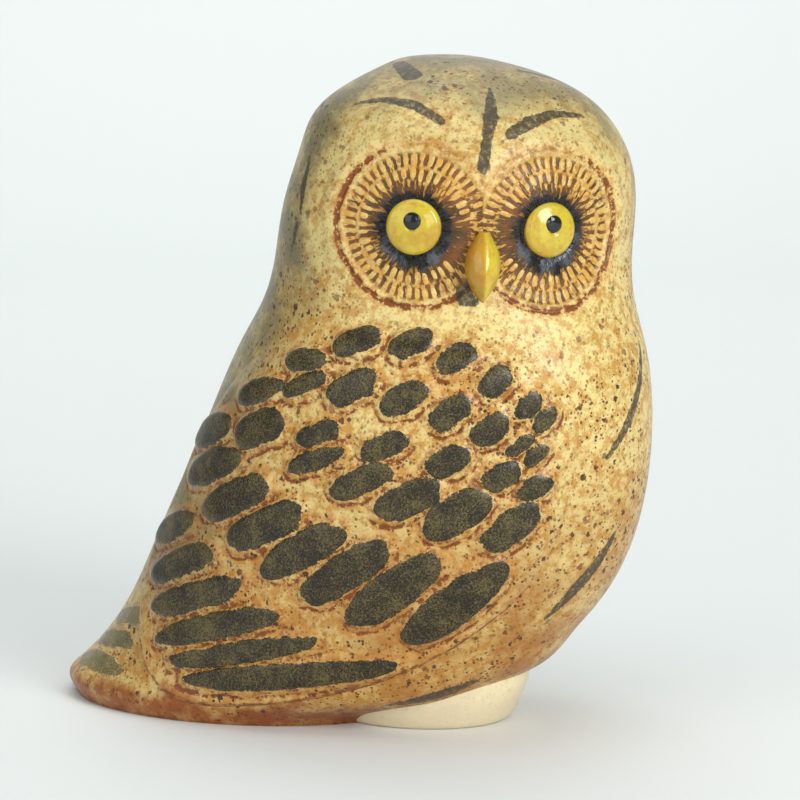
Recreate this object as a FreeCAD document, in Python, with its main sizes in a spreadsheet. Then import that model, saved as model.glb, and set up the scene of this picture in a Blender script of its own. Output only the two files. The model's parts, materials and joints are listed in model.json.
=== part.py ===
"""Standing owl figurine, slip-cast stoneware with sprigged relief.

+X is the way the breast faces, -Y is the owl's right side and +Z is up. The origin is on the
table, under the wing's root. The head is turned over the owl's right shoulder.
"""
import FreeCAD, Part
import math
import os

import Sketcher
from FreeCAD import Placement, Rotation, Vector

doc = FreeCAD.newDocument("OwlFigurine")

# ---------------------------------------------------------------- driving dimensions (mm, deg)

DRIVING = {
    "height": 200.0,            # table to crown
    "half_length": 74.0,        # half the length of the rump, the longest section
    "half_width": 50.0,         # half the width of the breast, the widest section
    "lean": 64.0,               # how far the head stands ahead of the origin
    "head_turn": 27.0,          # the face looks this far forward of square to the right
    "head_tilt": 2.2,           # the head's lean to its left
    "wall": 7.0,                # thickness of the cast wall
    "drain_bore": 16.0,
    "drain_ahead": -22.0,
    "foot_length": 61.0,
    "foot_width": 49.0,
    "foot_height": 22.0,
    "foot_ahead": 50.0,
    "foot_round": 4.0,
    "face_level": 153.0,        # height of the eyes' line
    "face_side": 1.4,           # the face's middle lies this far to the owl's left of the neck's
    "eye_reach": 20.3,          # from the middle of the face to each eye
    "eye_splay": 19.0,          # each eye looks outwards by this much
    "eye_bore": 16.2,
    "eye_play": 0.1,
    "pupil_bore": 5.2,
    "pupil_lift": 1.9,          # the pupil sits above the eye's middle
    "disc_radius": 23.4,
    "disc_groove": 0.8,         # width of the incised line round each disc
    "disc_depth": 4.0,
    "rim_width": 2.6,
    "dish_depth": 1.0,
    "beak_length": 20.0,
    "beak_width": 10.4,
    "beak_drop": 0.5,           # the beak starts this far below the eyes' line
    "beak_rise": 6.8,
    "wing_back": -35.0,         # rear end of the wing, measured round the side
    "wing_reach": 145.0,
    "wing_foot": 9.5,
    "wing_height": 115.0,
    "wing_rise": 1.6,
    "feather_rise": 1.0,
    "feather_groove": 0.8,      # clay left bare between two feathers
}

sheet = doc.addObject("Spreadsheet::Sheet", "Sizes")
for row, (alias, value) in enumerate(DRIVING.items(), start=1):
    sheet.set(f"A{row}", alias)
    sheet.set(f"B{row}", str(value))
    sheet.setAlias(f"B{row}", alias)
doc.recompute()


def size(alias):
    """The present value of one cell."""
    return float(sheet.get(alias))


# Sections of the bird from the sole up: height and place as shares of height and lean, half
# length and half width as shares of the longest and widest section, the share of the head's
# turn, and the share of a skin's thickness that goes upwards there.
STATIONS = [
    ("sole", 0.0, -0.12, 0.73, 0.73, 0.0, 0.0),
    ("hem", 0.028, -0.04, 0.85, 0.80, 0.0, 0.0),
    ("tail", 0.07, 0.245, 0.985, 0.84, 0.0, 0.0),
    ("root", 0.135, 0.405, 0.975, 0.89, 0.0, 0.0),
    ("rump", 0.21, 0.56, 1.0, 0.93, 0.0, 0.0),
    ("belly", 0.33, 0.72, 0.99, 0.98, 0.0, 0.0),
    ("breast", 0.46, 0.835, 0.925, 1.0, 0.0, 0.0),
    ("shoulder", 0.58, 0.905, 0.83, 0.96, 0.0, 0.0),
    ("neck", 0.665, 0.94, 0.735, 0.87, 0.5, 0.0),
    ("cheek", 0.745, 0.97, 0.72, 0.88, 1.0, 0.0),
    ("temple", 0.83, 1.0, 0.69, 0.87, 1.0, 0.1),
    ("brow", 0.905, 0.985, 0.61, 0.76, 1.0, 0.4),
    ("crown", 0.9625, 0.965, 0.425, 0.54, 1.0, 0.7),
    ("cap", 0.99, 0.915, 0.235, 0.30, 1.0, 0.95),
]
TOP_AHEAD = 0.92

# The same for the hollow: it keeps one wall, or a little more, inside the sections above.
HOLLOW = [
    ("floor", 0.0, 1.0, -0.16, 0.58, 0.58, 0.0, 0.0),
    ("over_tail", 0.135, 0.0, 0.405, 0.975, 0.86, 0.0, 1.25),
    ("in_belly", 0.33, 0.0, 0.72, 0.99, 0.98, 0.0, 1.1),
    ("in_shoulder", 0.58, 0.0, 0.905, 0.83, 0.96, 0.0, 1.1),
    ("in_cheek", 0.745, 0.0, 0.97, 0.72, 0.88, 1.0, 1.05),
    ("in_brow", 0.905, 0.0, 0.985, 0.61, 0.76, 1.0, 1.4),
    ("roof", 1.0, -1.25, 0.94, 0.22, 0.26, 1.0, 0.0),
]

# ---------------------------------------------------------------- building blocks


def origin_plane(body, role):
    """One of a body's own origin planes."""
    return next(f for f in body.Origin.OriginFeatures if f.Role == role)


def sketch_on(body, name, role, place=None):
    """An empty sketch on one of a body's origin planes, moved and turned by place."""
    sketch = body.newObject("Sketcher::SketchObject", name)
    sketch.AttachmentSupport = [(origin_plane(body, role), "")]
    sketch.MapMode = "FlatFace"
    if place:
        sketch.AttachmentOffset = place
    return sketch


def bind(sketch, kind, geometry, name, expression, start):
    """Adds a sized constraint to one line or arc and ties it to the sheet."""
    index = sketch.addConstraint(Sketcher.Constraint(kind, *geometry, start))
    sketch.renameConstraint(index, name)
    sketch.setExpression(f"Constraints.{name}", expression)


def oval(sketch, reach, breadth, start_reach, start_breadth):
    """An ellipse in four arcs about the sketch's origin; reach and breadth are expressions."""
    whole = Part.Ellipse(Vector(start_reach, 0, 0), Vector(0, start_breadth, 0), Vector())
    quarter = math.pi / 2
    arcs = [sketch.addGeometry(Part.ArcOfEllipse(whole, quarter * k, quarter * (k + 1)))
            for k in range(4)]
    sketch.exposeInternalGeometry(arcs[0])
    long_axis, short_axis = 4, 5
    for arc in arcs:
        sketch.addConstraint(Sketcher.Constraint("Coincident", arc, 3, -1, 1))
    for arc in arcs[1:]:
        sketch.addConstraint(Sketcher.Constraint("Equal", arcs[0], arc))
    for k, axis in enumerate((-2, -1, -2, -1)):
        sketch.addConstraint(Sketcher.Constraint("Coincident", arcs[k], 2, arcs[(k + 1) % 4], 1))
        sketch.addConstraint(Sketcher.Constraint("PointOnObject", arcs[k], 2, axis))
    bind(sketch, "Distance", (long_axis,), "length", f"2 * ({reach})", 2 * start_reach)
    bind(sketch, "Distance", (short_axis,), "width", f"2 * ({breadth})", 2 * start_breadth)


def bird_form(name, rise):
    """The whole bird as a loft, grown by the rise (an expression) or shrunk where it is minus."""
    grown = evaluate(rise)
    body = doc.addObject("PartDesign::Body", name)
    sections = []
    for station, level, ahead, reach, breadth, turn, lift in STATIONS:
        sketch = sketch_on(body, f"{name}_{station}", "XY_Plane", Placement(
            Vector(), Rotation(Vector(0, 0, 1), turn * size("head_turn"))))
        sketch.setExpression("AttachmentOffset.Base.x", f"{ahead} * Sizes.lean")
        sketch.setExpression("AttachmentOffset.Base.z",
                             f"{level} * Sizes.height + {lift} * ({rise})")
        oval(sketch, f"{reach} * Sizes.half_length + {rise}",
             f"{breadth} * Sizes.half_width + {rise}",
             reach * size("half_length") + grown, breadth * size("half_width") + grown)
        sections.append(sketch)
    top = sketch_on(body, f"{name}_top", "XY_Plane")
    top.addGeometry(Part.Point(Vector()))
    top.addConstraint(Sketcher.Constraint("Coincident", 0, 1, -1, 1))
    top.setExpression("AttachmentOffset.Base.x", f"{TOP_AHEAD} * Sizes.lean")
    top.setExpression("AttachmentOffset.Base.z", f"Sizes.height + {rise}")
    loft = body.newObject("PartDesign::AdditiveLoft", f"{name}_loft")
    loft.Profile = sections[0]
    loft.Sections = sections[1:] + [top]
    return body


def evaluate(rise):
    """The number that a rise expression stands for, from the same cells."""
    total = 0.0
    for term in rise.replace("-", "+-").split("+"):
        term = term.strip()
        if term and term != "0":
            sign = -1.0 if term.startswith("-") else 1.0
            total += sign * size(term.lstrip("- ").replace("Sizes.", ""))
    return total


def boolean(kind, name, base, tool):
    """A Part boolean of two objects of the document."""
    result = doc.addObject(kind, name)
    result.Base = base
    result.Tool = tool
    return result


def cut(name, base, tool):
    return boolean("Part::Cut", name, base, tool)


def common(name, base, tool):
    return boolean("Part::Common", name, base, tool)


def plain(name, shape):
    """A Part::Feature for a form that neither a body nor a primitive fits."""
    feature = doc.addObject("Part::Feature", name)
    feature.Shape = shape
    return feature


# ---------------------------------------------------------------- the cast body


def casting():
    """The cast body: one loft outside, a second one inside and the drain hole in the sole."""
    body = bird_form("casting", "0")
    sections = []
    for name, level, walls_up, ahead, reach, breadth, turn, inset in HOLLOW:
        sketch = sketch_on(body, name, "XY_Plane", Placement(
            Vector(), Rotation(Vector(0, 0, 1), turn * size("head_turn"))))
        sketch.setExpression("AttachmentOffset.Base.x", f"{ahead} * Sizes.lean")
        sketch.setExpression("AttachmentOffset.Base.z",
                             f"{level} * Sizes.height + {walls_up} * Sizes.wall")
        oval(sketch, f"{reach} * Sizes.half_length - {inset} * Sizes.wall",
             f"{breadth} * Sizes.half_width - {inset} * Sizes.wall",
             reach * size("half_length") - inset * size("wall"),
             breadth * size("half_width") - inset * size("wall"))
        sections.append(sketch)
    hollow = body.newObject("PartDesign::SubtractiveLoft", "hollow")
    hollow.Profile = sections[0]
    hollow.Sections = sections[1:]
    hollow.Ruled = True

    drain = sketch_on(body, "drain_outline", "XY_Plane")
    drain.addGeometry(Part.Circle(Vector(size("drain_ahead"), 0, 0), Vector(0, 0, 1),
                                  size("drain_bore") / 2))
    drain.addConstraint(Sketcher.Constraint("PointOnObject", 0, 3, -1))
    bind(drain, "DistanceX", (-1, 1, 0, 3), "ahead", "Sizes.drain_ahead", size("drain_ahead"))
    bind(drain, "Diameter", (0,), "bore", "Sizes.drain_bore", size("drain_bore"))
    pocket = body.newObject("PartDesign::Pocket", "drain")
    pocket.Profile = drain
    pocket.Reversed = True
    pocket.setExpression("Length", "2 * Sizes.wall")
    return body, hollow, pocket


def foot(bird):
    """The pale block under the belly, round below and let into the belly above."""
    body = doc.addObject("PartDesign::Body", "foot_block")
    outline = sketch_on(body, "foot_outline", "XY_Plane")
    outline.setExpression("AttachmentOffset.Base.x", "Sizes.foot_ahead")
    oval(outline, "Sizes.foot_length / 2", "Sizes.foot_width / 2",
         size("foot_length") / 2, size("foot_width") / 2)
    pad = body.newObject("PartDesign::Pad", "foot_pad")
    pad.Profile = outline
    pad.setExpression("Length", "Sizes.foot_height")
    doc.recompute()
    sole_edges = [f"Edge{k}" for k, edge in enumerate(pad.Shape.Edges, start=1)
                  if edge.BoundBox.ZMax < size("foot_round") / 10]
    rounding = body.newObject("PartDesign::Fillet", "foot_rounding")
    rounding.Base = (pad, sole_edges)
    rounding.setExpression("Radius", "Sizes.foot_round")
    return cut("foot", body, bird)


# ---------------------------------------------------------------- the face


def face_frame():
    """Place of the face: X to the viewer's right, Y up and Z outwards, tilted with the head."""
    turn = math.radians(size("head_turn"))
    tilt = math.radians(size("head_tilt"))
    outwards = Vector(math.sin(turn), -math.cos(turn), 0)
    level_side = Vector(math.cos(turn), math.sin(turn), 0)
    side = level_side * math.cos(tilt) - Vector(0, 0, 1) * math.sin(tilt)
    up = outwards.cross(side)
    middle = Vector(0.975 * size("lean"), 0, size("face_level")) + side * size("face_side")
    return Placement(middle, Rotation(side, up, outwards, "ZXY"))


def surface_seat(form, start, direction):
    """The point where a ray from inside leaves the form."""
    far = start + direction * size("height")
    crossing = form.Shape.common(Part.makeLine(start, far))
    return max((v.Point for v in crossing.Vertexes), key=lambda p: (p - start).Length)


def eye_frame(face, bird, side):
    """Place of one eye and its disc on the head's skin; side is -1 for the owl's right eye."""
    splay = Rotation(Vector(0, 1, 0), side * size("eye_splay"))
    turned = face.Rotation.multiply(splay)
    start = face.multVec(Vector(side * size("eye_reach"), 0, 0))
    seat = surface_seat(bird, start, face.Rotation.multVec(Vector(0, 0, 1)))
    return Placement(seat, turned)


def cylinder(name, radius, low, high, place):
    """A round plug about the Z axis of place; the radius is an expression."""
    plug = doc.addObject("Part::Cylinder", name)
    plug.setExpression("Radius", radius)
    plug.Height = high - low
    plug.Placement = place.multiply(Placement(Vector(0, 0, low), Rotation()))
    return plug


def lathe(name, points, place):
    """A body turned about Z from a closed profile; each point is a pair of expressions."""
    body = doc.addObject("PartDesign::Body", name)
    sketch = sketch_on(body, f"{name}_profile", "XZ_Plane")
    count = len(points)
    for k in range(count):
        here = Vector(*points[k][2], 0)
        after = Vector(*points[(k + 1) % count][2], 0)
        sketch.addGeometry(Part.LineSegment(here, after))
    for k, (across, along, _) in enumerate(points):
        sketch.addConstraint(Sketcher.Constraint("Coincident", k, 2, (k + 1) % count, 1))
        if across == "0":
            sketch.addConstraint(Sketcher.Constraint("PointOnObject", k, 1, -2))
        else:
            bind(sketch, "DistanceX", (-1, 1, k, 1), f"across{k}", across, points[k][2][0])
        bind(sketch, "DistanceY", (-1, 1, k, 1), f"along{k}", along, points[k][2][1])
    turned = body.newObject("PartDesign::Revolution", f"{name}_turned")
    turned.Profile = sketch
    turned.ReferenceAxis = (sketch, ["V_Axis"])
    turned.Angle = 360
    body.Placement = place
    return body


def facial_disc(name, place, skins, middle):
    """A thin rosette flush with the head: a rim, a shallow dish and the bore for the eye."""
    bird, dish_skin, seat_skin = skins
    depth = 4 * size("disc_depth")
    blank = cylinder(f"{name}_blank", "Sizes.disc_radius", -depth, depth, place)
    hollow = cylinder(f"{name}_hollow", "Sizes.disc_radius - Sizes.rim_width",
                      -depth, depth, place)
    flush = common(f"{name}_flush", blank, bird)
    scooped = cut(f"{name}_scooped", flush, cut(f"{name}_scoop", hollow, dish_skin))
    seated = cut(f"{name}_seated", scooped, seat_skin)
    bore = cylinder(f"{name}_bore", "Sizes.eye_bore / 2", -depth, depth, place)
    bored = cut(f"{name}_bored", seated, bore)
    return common(name, bored, middle)


def middle_half(name, face, side):
    """Half of the space, on one side of the face's middle, less half a groove."""
    reach = size("height")
    box = doc.addObject("Part::Box", name)
    box.Length = reach
    box.Width = 2 * reach
    box.Height = 2 * reach
    start = size("disc_groove") / 2 if side > 0 else -size("disc_groove") / 2 - reach
    box.Placement = face.multiply(Placement(Vector(start, -reach, -reach), Rotation()))
    return box


def eye_parts(side_name, place, seat_skin):
    """A turned eyeball cap with a bevelled edge, and the pupil let into its front."""
    radius = size("eye_bore") / 2 - size("eye_play")
    deep = -2 * size("disc_depth")
    profile = [
        ("0", "-2 * Sizes.disc_depth", (0, deep)),
        ("Sizes.eye_bore / 2 - Sizes.eye_play", "-2 * Sizes.disc_depth", (radius, deep)),
        ("Sizes.eye_bore / 2 - Sizes.eye_play", "-1.2", (radius, -1.2)),
        ("0.44 * Sizes.eye_bore", "-0.1", (0.44 * size("eye_bore"), -0.1)),
        ("0.30 * Sizes.eye_bore", "0.7", (0.30 * size("eye_bore"), 0.7)),
        ("0.15 * Sizes.eye_bore", "1.1", (0.15 * size("eye_bore"), 1.1)),
        ("0", "1.2", (0, 1.2)),
    ]
    blank = lathe(f"{side_name}_eye_blank", profile, place)
    lifted = place.multiply(Placement(Vector(0, size("pupil_lift"), 0), Rotation()))
    hole = cylinder(f"{side_name}_pupil_hole", "Sizes.pupil_bore / 2", -0.6, 4.0, lifted)
    seated = cut(f"{side_name}_eye_seated", blank, seat_skin)
    eye = cut(f"{side_name}_eye", seated, hole)
    small = size("pupil_bore") / 2 - size("eye_play") / 2
    bead = [
        ("0", "-0.6", (0, -0.6)),
        ("Sizes.pupil_bore / 2 - Sizes.eye_play / 2", "-0.6", (small, -0.6)),
        ("Sizes.pupil_bore / 2 - Sizes.eye_play / 2", "1.1", (small, 1.1)),
        ("0.3 * Sizes.pupil_bore", "1.6", (0.3 * size("pupil_bore"), 1.6)),
        ("0", "1.8", (0, 1.8)),
    ]
    return eye, lathe(f"{side_name}_pupil", bead, lifted)


# Sections of the beak from its top down, as shares of its length, width and rise.
BEAK = [(0.0, 0.3, 0.3), (0.16, 0.64, 0.58), (0.38, 0.96, 0.86), (0.6, 0.94, 1.0),
        (0.8, 0.66, 0.97), (0.93, 0.32, 0.84), (1.0, 0.07, 0.62)]


def beak(face, seat, carriers):
    """A keeled beak lofted down the face through pointed ovals and cut to fit what carries it."""
    body = doc.addObject("PartDesign::Body", "beak_blank")
    stations = []
    for k, (share, width, rise) in enumerate(BEAK):
        sketch = sketch_on(body, f"beak_section_{k}", "XZ_Plane")
        sketch.setExpression("AttachmentOffset.Base.z",
                             f"{share} * Sizes.beak_length + Sizes.beak_drop")
        half = width * size("beak_width") / 2
        tip = rise * size("beak_rise")
        for side in (1, -1):
            sketch.addGeometry(Part.Arc(Vector(0, -tip * side, 0), Vector(half * side, 0, 0),
                                        Vector(0, tip * side, 0)))
        sketch.addConstraint(Sketcher.Constraint("Coincident", 0, 2, 1, 1))
        sketch.addConstraint(Sketcher.Constraint("Coincident", 1, 2, 0, 1))
        sketch.addConstraint(Sketcher.Constraint("Symmetric", 0, 1, 0, 2, -1, 1))
        sketch.addConstraint(Sketcher.Constraint("PointOnObject", 0, 2, -2))
        sketch.addConstraint(Sketcher.Constraint("Equal", 0, 1))
        bind(sketch, "DistanceY", (0, 1, 0, 2), "depth", f"2 * {rise} * Sizes.beak_rise", 2 * tip)
        bind(sketch, "Radius", (0,), "bow",
             f"(({rise} * Sizes.beak_rise)^2 + ({width} * Sizes.beak_width / 2)^2)"
             f" / ({width} * Sizes.beak_width)", (tip ** 2 + half ** 2) / (2 * half))
        stations.append(sketch)
    loft = body.newObject("PartDesign::AdditiveLoft", "beak_loft")
    loft.Profile = stations[0]
    loft.Sections = stations[1:]
    body.Placement = Placement(seat, face.Rotation)
    front = doc.addObject("Part::Box", "beak_front_space")
    for edge in ("Length", "Width", "Height"):
        front.setExpression(edge, "2 * Sizes.beak_length + 2 * Sizes.beak_width")
    reach = size("beak_length") + size("beak_width")
    front.Placement = Placement(seat, face.Rotation).multiply(
        Placement(Vector(-reach, -reach, -size("disc_depth")), Rotation()))
    trimmed = common("beak_front", body, front)
    for carrier in carriers[:-1]:
        trimmed = cut(f"beak_on_{carrier.Name}", trimmed, carrier)
    return cut("beak", trimmed, carriers[-1])


# ---------------------------------------------------------------- wings and feathers

# The wing's edge, as shares of its reach and height, round from the rear of the shoulder.
WING_EDGE = [(0.35, 0.93), (0.51, 1.0), (0.72, 1.005), (0.88, 0.96), (0.985, 0.845),
             (1.015, 0.70), (1.0, 0.55), (0.955, 0.40), (0.855, 0.25), (0.64, 0.09),
             (0.40, 0.0), (0.18, -0.025), (0.06, 0.05), (-0.01, 0.22), (-0.01, 0.36),
             (0.035, 0.49), (0.09, 0.66), (0.20, 0.82)]

# Each row of feathers: how many, the first and last feather's place (shares of the wing's reach
# and height), the row's bow, how the row closes up towards its end, and the first and last
# feather's length, width and slope.
FEATHER_ROWS = {
    "scapulars": (7, (0.46, 0.905), (0.95, 0.775), 0.12, 1.5, (17, 9), (8, 7), (8, 50)),
    "lesser_coverts": (8, (0.34, 0.81), (0.935, 0.69), 0.09, 1.5, (22, 10), (9, 7.5), (18, 40)),
    "median_coverts": (7, (0.185, 0.685), (0.935, 0.605), 0.075, 1.35, (24, 11), (11, 8), (20, 26)),
    "greater_coverts": (5, (0.495, 0.66), (0.885, 0.505), -0.01, 0.95, (23, 21), (9, 12), (20, 38)),
    "secondaries": (7, (0.215, 0.60), (0.765, 0.30), -0.045, 0.85, (30, 37), (12, 13), (20, 42)),
    "primaries": (6, (0.095, 0.42), (0.405, 0.085), -0.06, 0.75, (24, 76), (8.5, 10), (24, 8)),
}
TAIL_ROW = (3, (-0.055, 0.16), (-0.12, 0.03), 0.0, 1.0, (24, 30), (6, 6), (14, 3))


def section_at(level):
    """Place, half length and half width of the bird at a height below the neck."""
    share = level / size("height")
    for low, high in zip(STATIONS, STATIONS[1:]):
        if share <= high[1]:
            break
    part = (share - low[1]) / (high[1] - low[1])
    ahead, reach, breadth = (low[k] + part * (high[k] - low[k]) for k in (2, 3, 4))
    return ahead * size("lean"), reach * size("half_length"), breadth * size("half_width")


def side_point(along, level):
    """A point of the right flank: along is measured round the side from the section's middle."""
    ahead, reach, breadth = section_at(level)
    step = math.copysign(0.01, along - ahead)
    bearing, left = 0.0, abs(along - ahead)
    while left > 0:
        left -= abs(step) * math.hypot(reach * math.cos(bearing), breadth * math.sin(bearing))
        bearing += step
    return Vector(ahead + reach * math.sin(bearing), -breadth * math.cos(bearing), level)


def on_wing(share):
    """Shares of the wing's reach and height as a distance along the side and a height."""
    return (size("wing_back") + share[0] * size("wing_reach"),
            size("wing_foot") + share[1] * size("wing_height"))


def between(ends, part):
    return ends[0] + (ends[1] - ends[0]) * part


class Feather:
    """One oval feather that lies along its slope on the flank."""

    def __init__(self, along, level, length, width, slope):
        self.along = along
        self.level = level
        self.slope = math.radians(slope)
        self.length = length
        self.width = width

    def discs(self, count=9):
        """Circles that fill the oval end to end, to measure the gap to its neighbours."""
        half, side = self.length / 2, self.width / 2
        focus = half * half - side * side
        for k in range(count):
            place = (2 * k / (count - 1) - 1) * focus / half
            yield (self.along + place * math.cos(self.slope),
                   self.level + place * math.sin(self.slope),
                   side * math.sqrt(1 - place * place / focus))

    def gap(self, other):
        return min(math.hypot(a[0] - b[0], a[1] - b[1]) - a[2] - b[2]
                   for a in self.discs() for b in other.discs())

    def plug(self, side):
        """The oval as a prism square to the flank; side is -1 on the owl's right."""
        here = side_point(self.along, self.level)
        round_side = side_point(self.along + 1, self.level) - side_point(self.along - 1, self.level)
        up_side = side_point(self.along, self.level + 1) - side_point(self.along, self.level - 1)
        out = round_side.cross(up_side).normalize()
        round_side.normalize()
        up_side = out.cross(round_side)
        axis = round_side * math.cos(self.slope) + up_side * math.sin(self.slope)
        if side > 0:
            here, out, axis = (Vector(v.x, -v.y, v.z) for v in (here, out, axis))
        clearance = 3 * (size("wing_rise") + size("feather_rise"))
        sink = clearance + self.length ** 2 / (8 * size("half_width"))
        oval_edge = Part.Ellipse(Vector(self.length / 2, 0, 0), Vector(0, self.width / 2, 0),
                                 Vector())
        prism = Part.Face(Part.Wire(oval_edge.toShape())).extrude(Vector(0, 0, sink + clearance))
        prism.Placement = Placement(here - out * sink, Rotation(axis, Vector(), out, "ZXY"))
        return prism


def feather_row(row):
    """The feathers of one row, before they are fitted to their neighbours."""
    count, first, last, bow, closing, lengths, widths, slopes = row
    scale = size("wing_reach") / DRIVING["wing_reach"]
    for k in range(count):
        part = 1 - (1 - k / (count - 1)) ** closing
        share = (between((first[0], last[0]), part),
                 between((first[1], last[1]), part) + 4 * bow * part * (1 - part))
        along, level = on_wing(share)
        yield Feather(along, level, between(lengths, part) * scale,
                      between(widths, part) * scale, between(slopes, part))


def fit_feathers(feathers):
    """Trims feathers that crowd each other until bare clay is left between all of them."""
    crowded = True
    while crowded:
        crowded = False
        for k, feather in enumerate(feathers):
            for other in feathers[k + 1:]:
                if feather.gap(other) < size("feather_groove"):
                    for one in (feather, other):
                        one.width *= 0.97
                        one.length *= 0.99
                    crowded = True
    return feathers


def wing_prism(name, side):
    """The wing's outline drawn out sideways through the whole flank."""
    points = []
    for share in WING_EDGE:
        flank = side_point(*on_wing(share))
        points.append(Vector(flank.x, 0, flank.z))
    edge = Part.BSplineCurve()
    edge.interpolate(points, PeriodicFlag=True)
    face = Part.Face(Part.Wire(edge.toShape()))
    return plain(name, face.extrude(Vector(0, side * 2 * size("half_width"), 0)))


def compound(name, shapes):
    return plain(name, Part.makeCompound(shapes))


def relief(name, blank, over, under):
    """What a blank leaves between two skins of the bird."""
    return cut(name, common(f"{name}_under_skin", blank, over), under)


# ---------------------------------------------------------------- assembly

bird = bird_form("bird", "0")
wing_skin = bird_form("wing_skin", "Sizes.wing_rise")
feather_skin = bird_form("feather_skin", "Sizes.wing_rise + Sizes.feather_rise")
tail_skin = bird_form("tail_skin", "Sizes.feather_rise")
dish_skin = bird_form("dish_skin", "-Sizes.dish_depth")
seat_skin = bird_form("seat_skin", "-Sizes.disc_depth")
cast, hollow, drain = casting()
doc.recompute()

nodes = {}
nodes["foot"] = foot(bird)

face = face_frame()
eyes = {"right": eye_frame(face, bird, -1), "left": eye_frame(face, bird, 1)}
beak_seat = surface_seat(bird, face.Base, face.Rotation.multVec(Vector(0, 0, 1)))
recess_plugs = [cylinder(f"{name}_recess", "Sizes.disc_radius + Sizes.disc_groove",
                         -size("wall") * 2, size("wall") * 2, place)
                for name, place in eyes.items()]
recess_blank = doc.addObject("Part::MultiFuse", "recess_blank")
recess_blank.Shapes = recess_plugs
nodes["body_shell"] = cut("body_shell", cast, cut("recess", recess_blank, seat_skin))
for side, (name, place) in zip((-1, 1), eyes.items()):
    half = middle_half(f"{name}_half", face, side)
    disc = facial_disc(f"{name}_facial_disc", place, (bird, dish_skin, seat_skin), half)
    nodes[f"{name}_facial_disc"] = disc
    nodes[f"{name}_eye"], nodes[f"{name}_pupil"] = eye_parts(name, place, seat_skin)
nodes["beak"] = beak(face, beak_seat, [nodes["body_shell"], nodes["right_facial_disc"],
                                       nodes["left_facial_disc"]])

rows = {name: list(feather_row(row)) for name, row in FEATHER_ROWS.items()}
fit_feathers([feather for row in rows.values() for feather in row])
tail_row = fit_feathers(list(feather_row(TAIL_ROW)))
for side, name in ((-1, "right"), (1, "left")):
    outline = wing_prism(f"{name}_wing_outline", side)
    nodes[f"{name}_wing"] = relief(f"{name}_wing", outline, wing_skin, bird)
    for tract, feathers in rows.items():
        plugs = compound(f"{name}_{tract}_plugs", [f.plug(side) for f in feathers])
        nodes[f"{name}_{tract}"] = relief(f"{name}_{tract}", plugs, feather_skin, wing_skin)
    plugs = compound(f"{name}_tail_plugs", [f.plug(side) for f in tail_row])
    nodes[f"{name}_tail_feathers"] = relief(f"{name}_tail_feathers", plugs, tail_skin, bird)

doc.recompute()

# ---------------------------------------------------------------- checks and export

for feature in doc.Objects:
    if any(flag in feature.State for flag in ("Invalid", "Error")):
        raise RuntimeError(f"{feature.Name} failed: {feature.State}")
if hollow.Shape.Volume > 0.7 * bird.Shape.Volume:
    raise RuntimeError("the hollow was not cut")
if drain.Shape.Volume > hollow.Shape.Volume - 1:
    raise RuntimeError("the drain hole was not cut")
for name, node in nodes.items():
    node.Label = name
    if node.Shape.isNull() or not node.Shape.isValid() or node.Shape.Volume < 1:
        raise RuntimeError(f"{name} has no sound shape")

os.makedirs("parts", exist_ok=True)
for name, node in nodes.items():
    node.Shape.exportStep(f"parts/{name}.step")
    print(f"{name:26s} {node.Shape.Volume:12.1f} mm3  {len(node.Shape.Solids)} solid(s)")
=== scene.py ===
"""Glazed stoneware owl: the looks of the figurine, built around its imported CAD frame."""

import json
import math

import bpy
import numpy as np
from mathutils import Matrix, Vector
from mathutils.bvhtree import BVHTree

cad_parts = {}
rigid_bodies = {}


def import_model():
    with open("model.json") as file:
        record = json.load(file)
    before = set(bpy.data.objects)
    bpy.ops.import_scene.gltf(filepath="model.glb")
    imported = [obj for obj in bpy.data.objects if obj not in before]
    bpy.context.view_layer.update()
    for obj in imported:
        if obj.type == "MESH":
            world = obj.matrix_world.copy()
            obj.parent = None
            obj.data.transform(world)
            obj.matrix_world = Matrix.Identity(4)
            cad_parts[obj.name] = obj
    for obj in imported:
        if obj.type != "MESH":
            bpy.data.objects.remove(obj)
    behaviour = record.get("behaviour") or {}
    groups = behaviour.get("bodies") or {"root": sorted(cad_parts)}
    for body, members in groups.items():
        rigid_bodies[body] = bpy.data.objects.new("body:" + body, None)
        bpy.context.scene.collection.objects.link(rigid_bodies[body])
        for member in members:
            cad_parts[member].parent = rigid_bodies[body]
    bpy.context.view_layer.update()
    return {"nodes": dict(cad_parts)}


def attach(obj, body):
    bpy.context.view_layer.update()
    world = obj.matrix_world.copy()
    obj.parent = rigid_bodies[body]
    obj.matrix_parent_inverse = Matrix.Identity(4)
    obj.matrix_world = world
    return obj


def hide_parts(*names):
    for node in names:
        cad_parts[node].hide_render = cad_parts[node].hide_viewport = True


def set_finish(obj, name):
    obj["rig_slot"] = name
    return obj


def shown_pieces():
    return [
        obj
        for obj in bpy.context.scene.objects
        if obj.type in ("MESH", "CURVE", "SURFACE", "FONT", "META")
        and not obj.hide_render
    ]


MM = 0.001
for leftover in list(bpy.data.objects):
    bpy.data.objects.remove(leftover)
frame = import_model()

# ---------------------------------------------------------------- sizes (mm and degrees)

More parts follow.
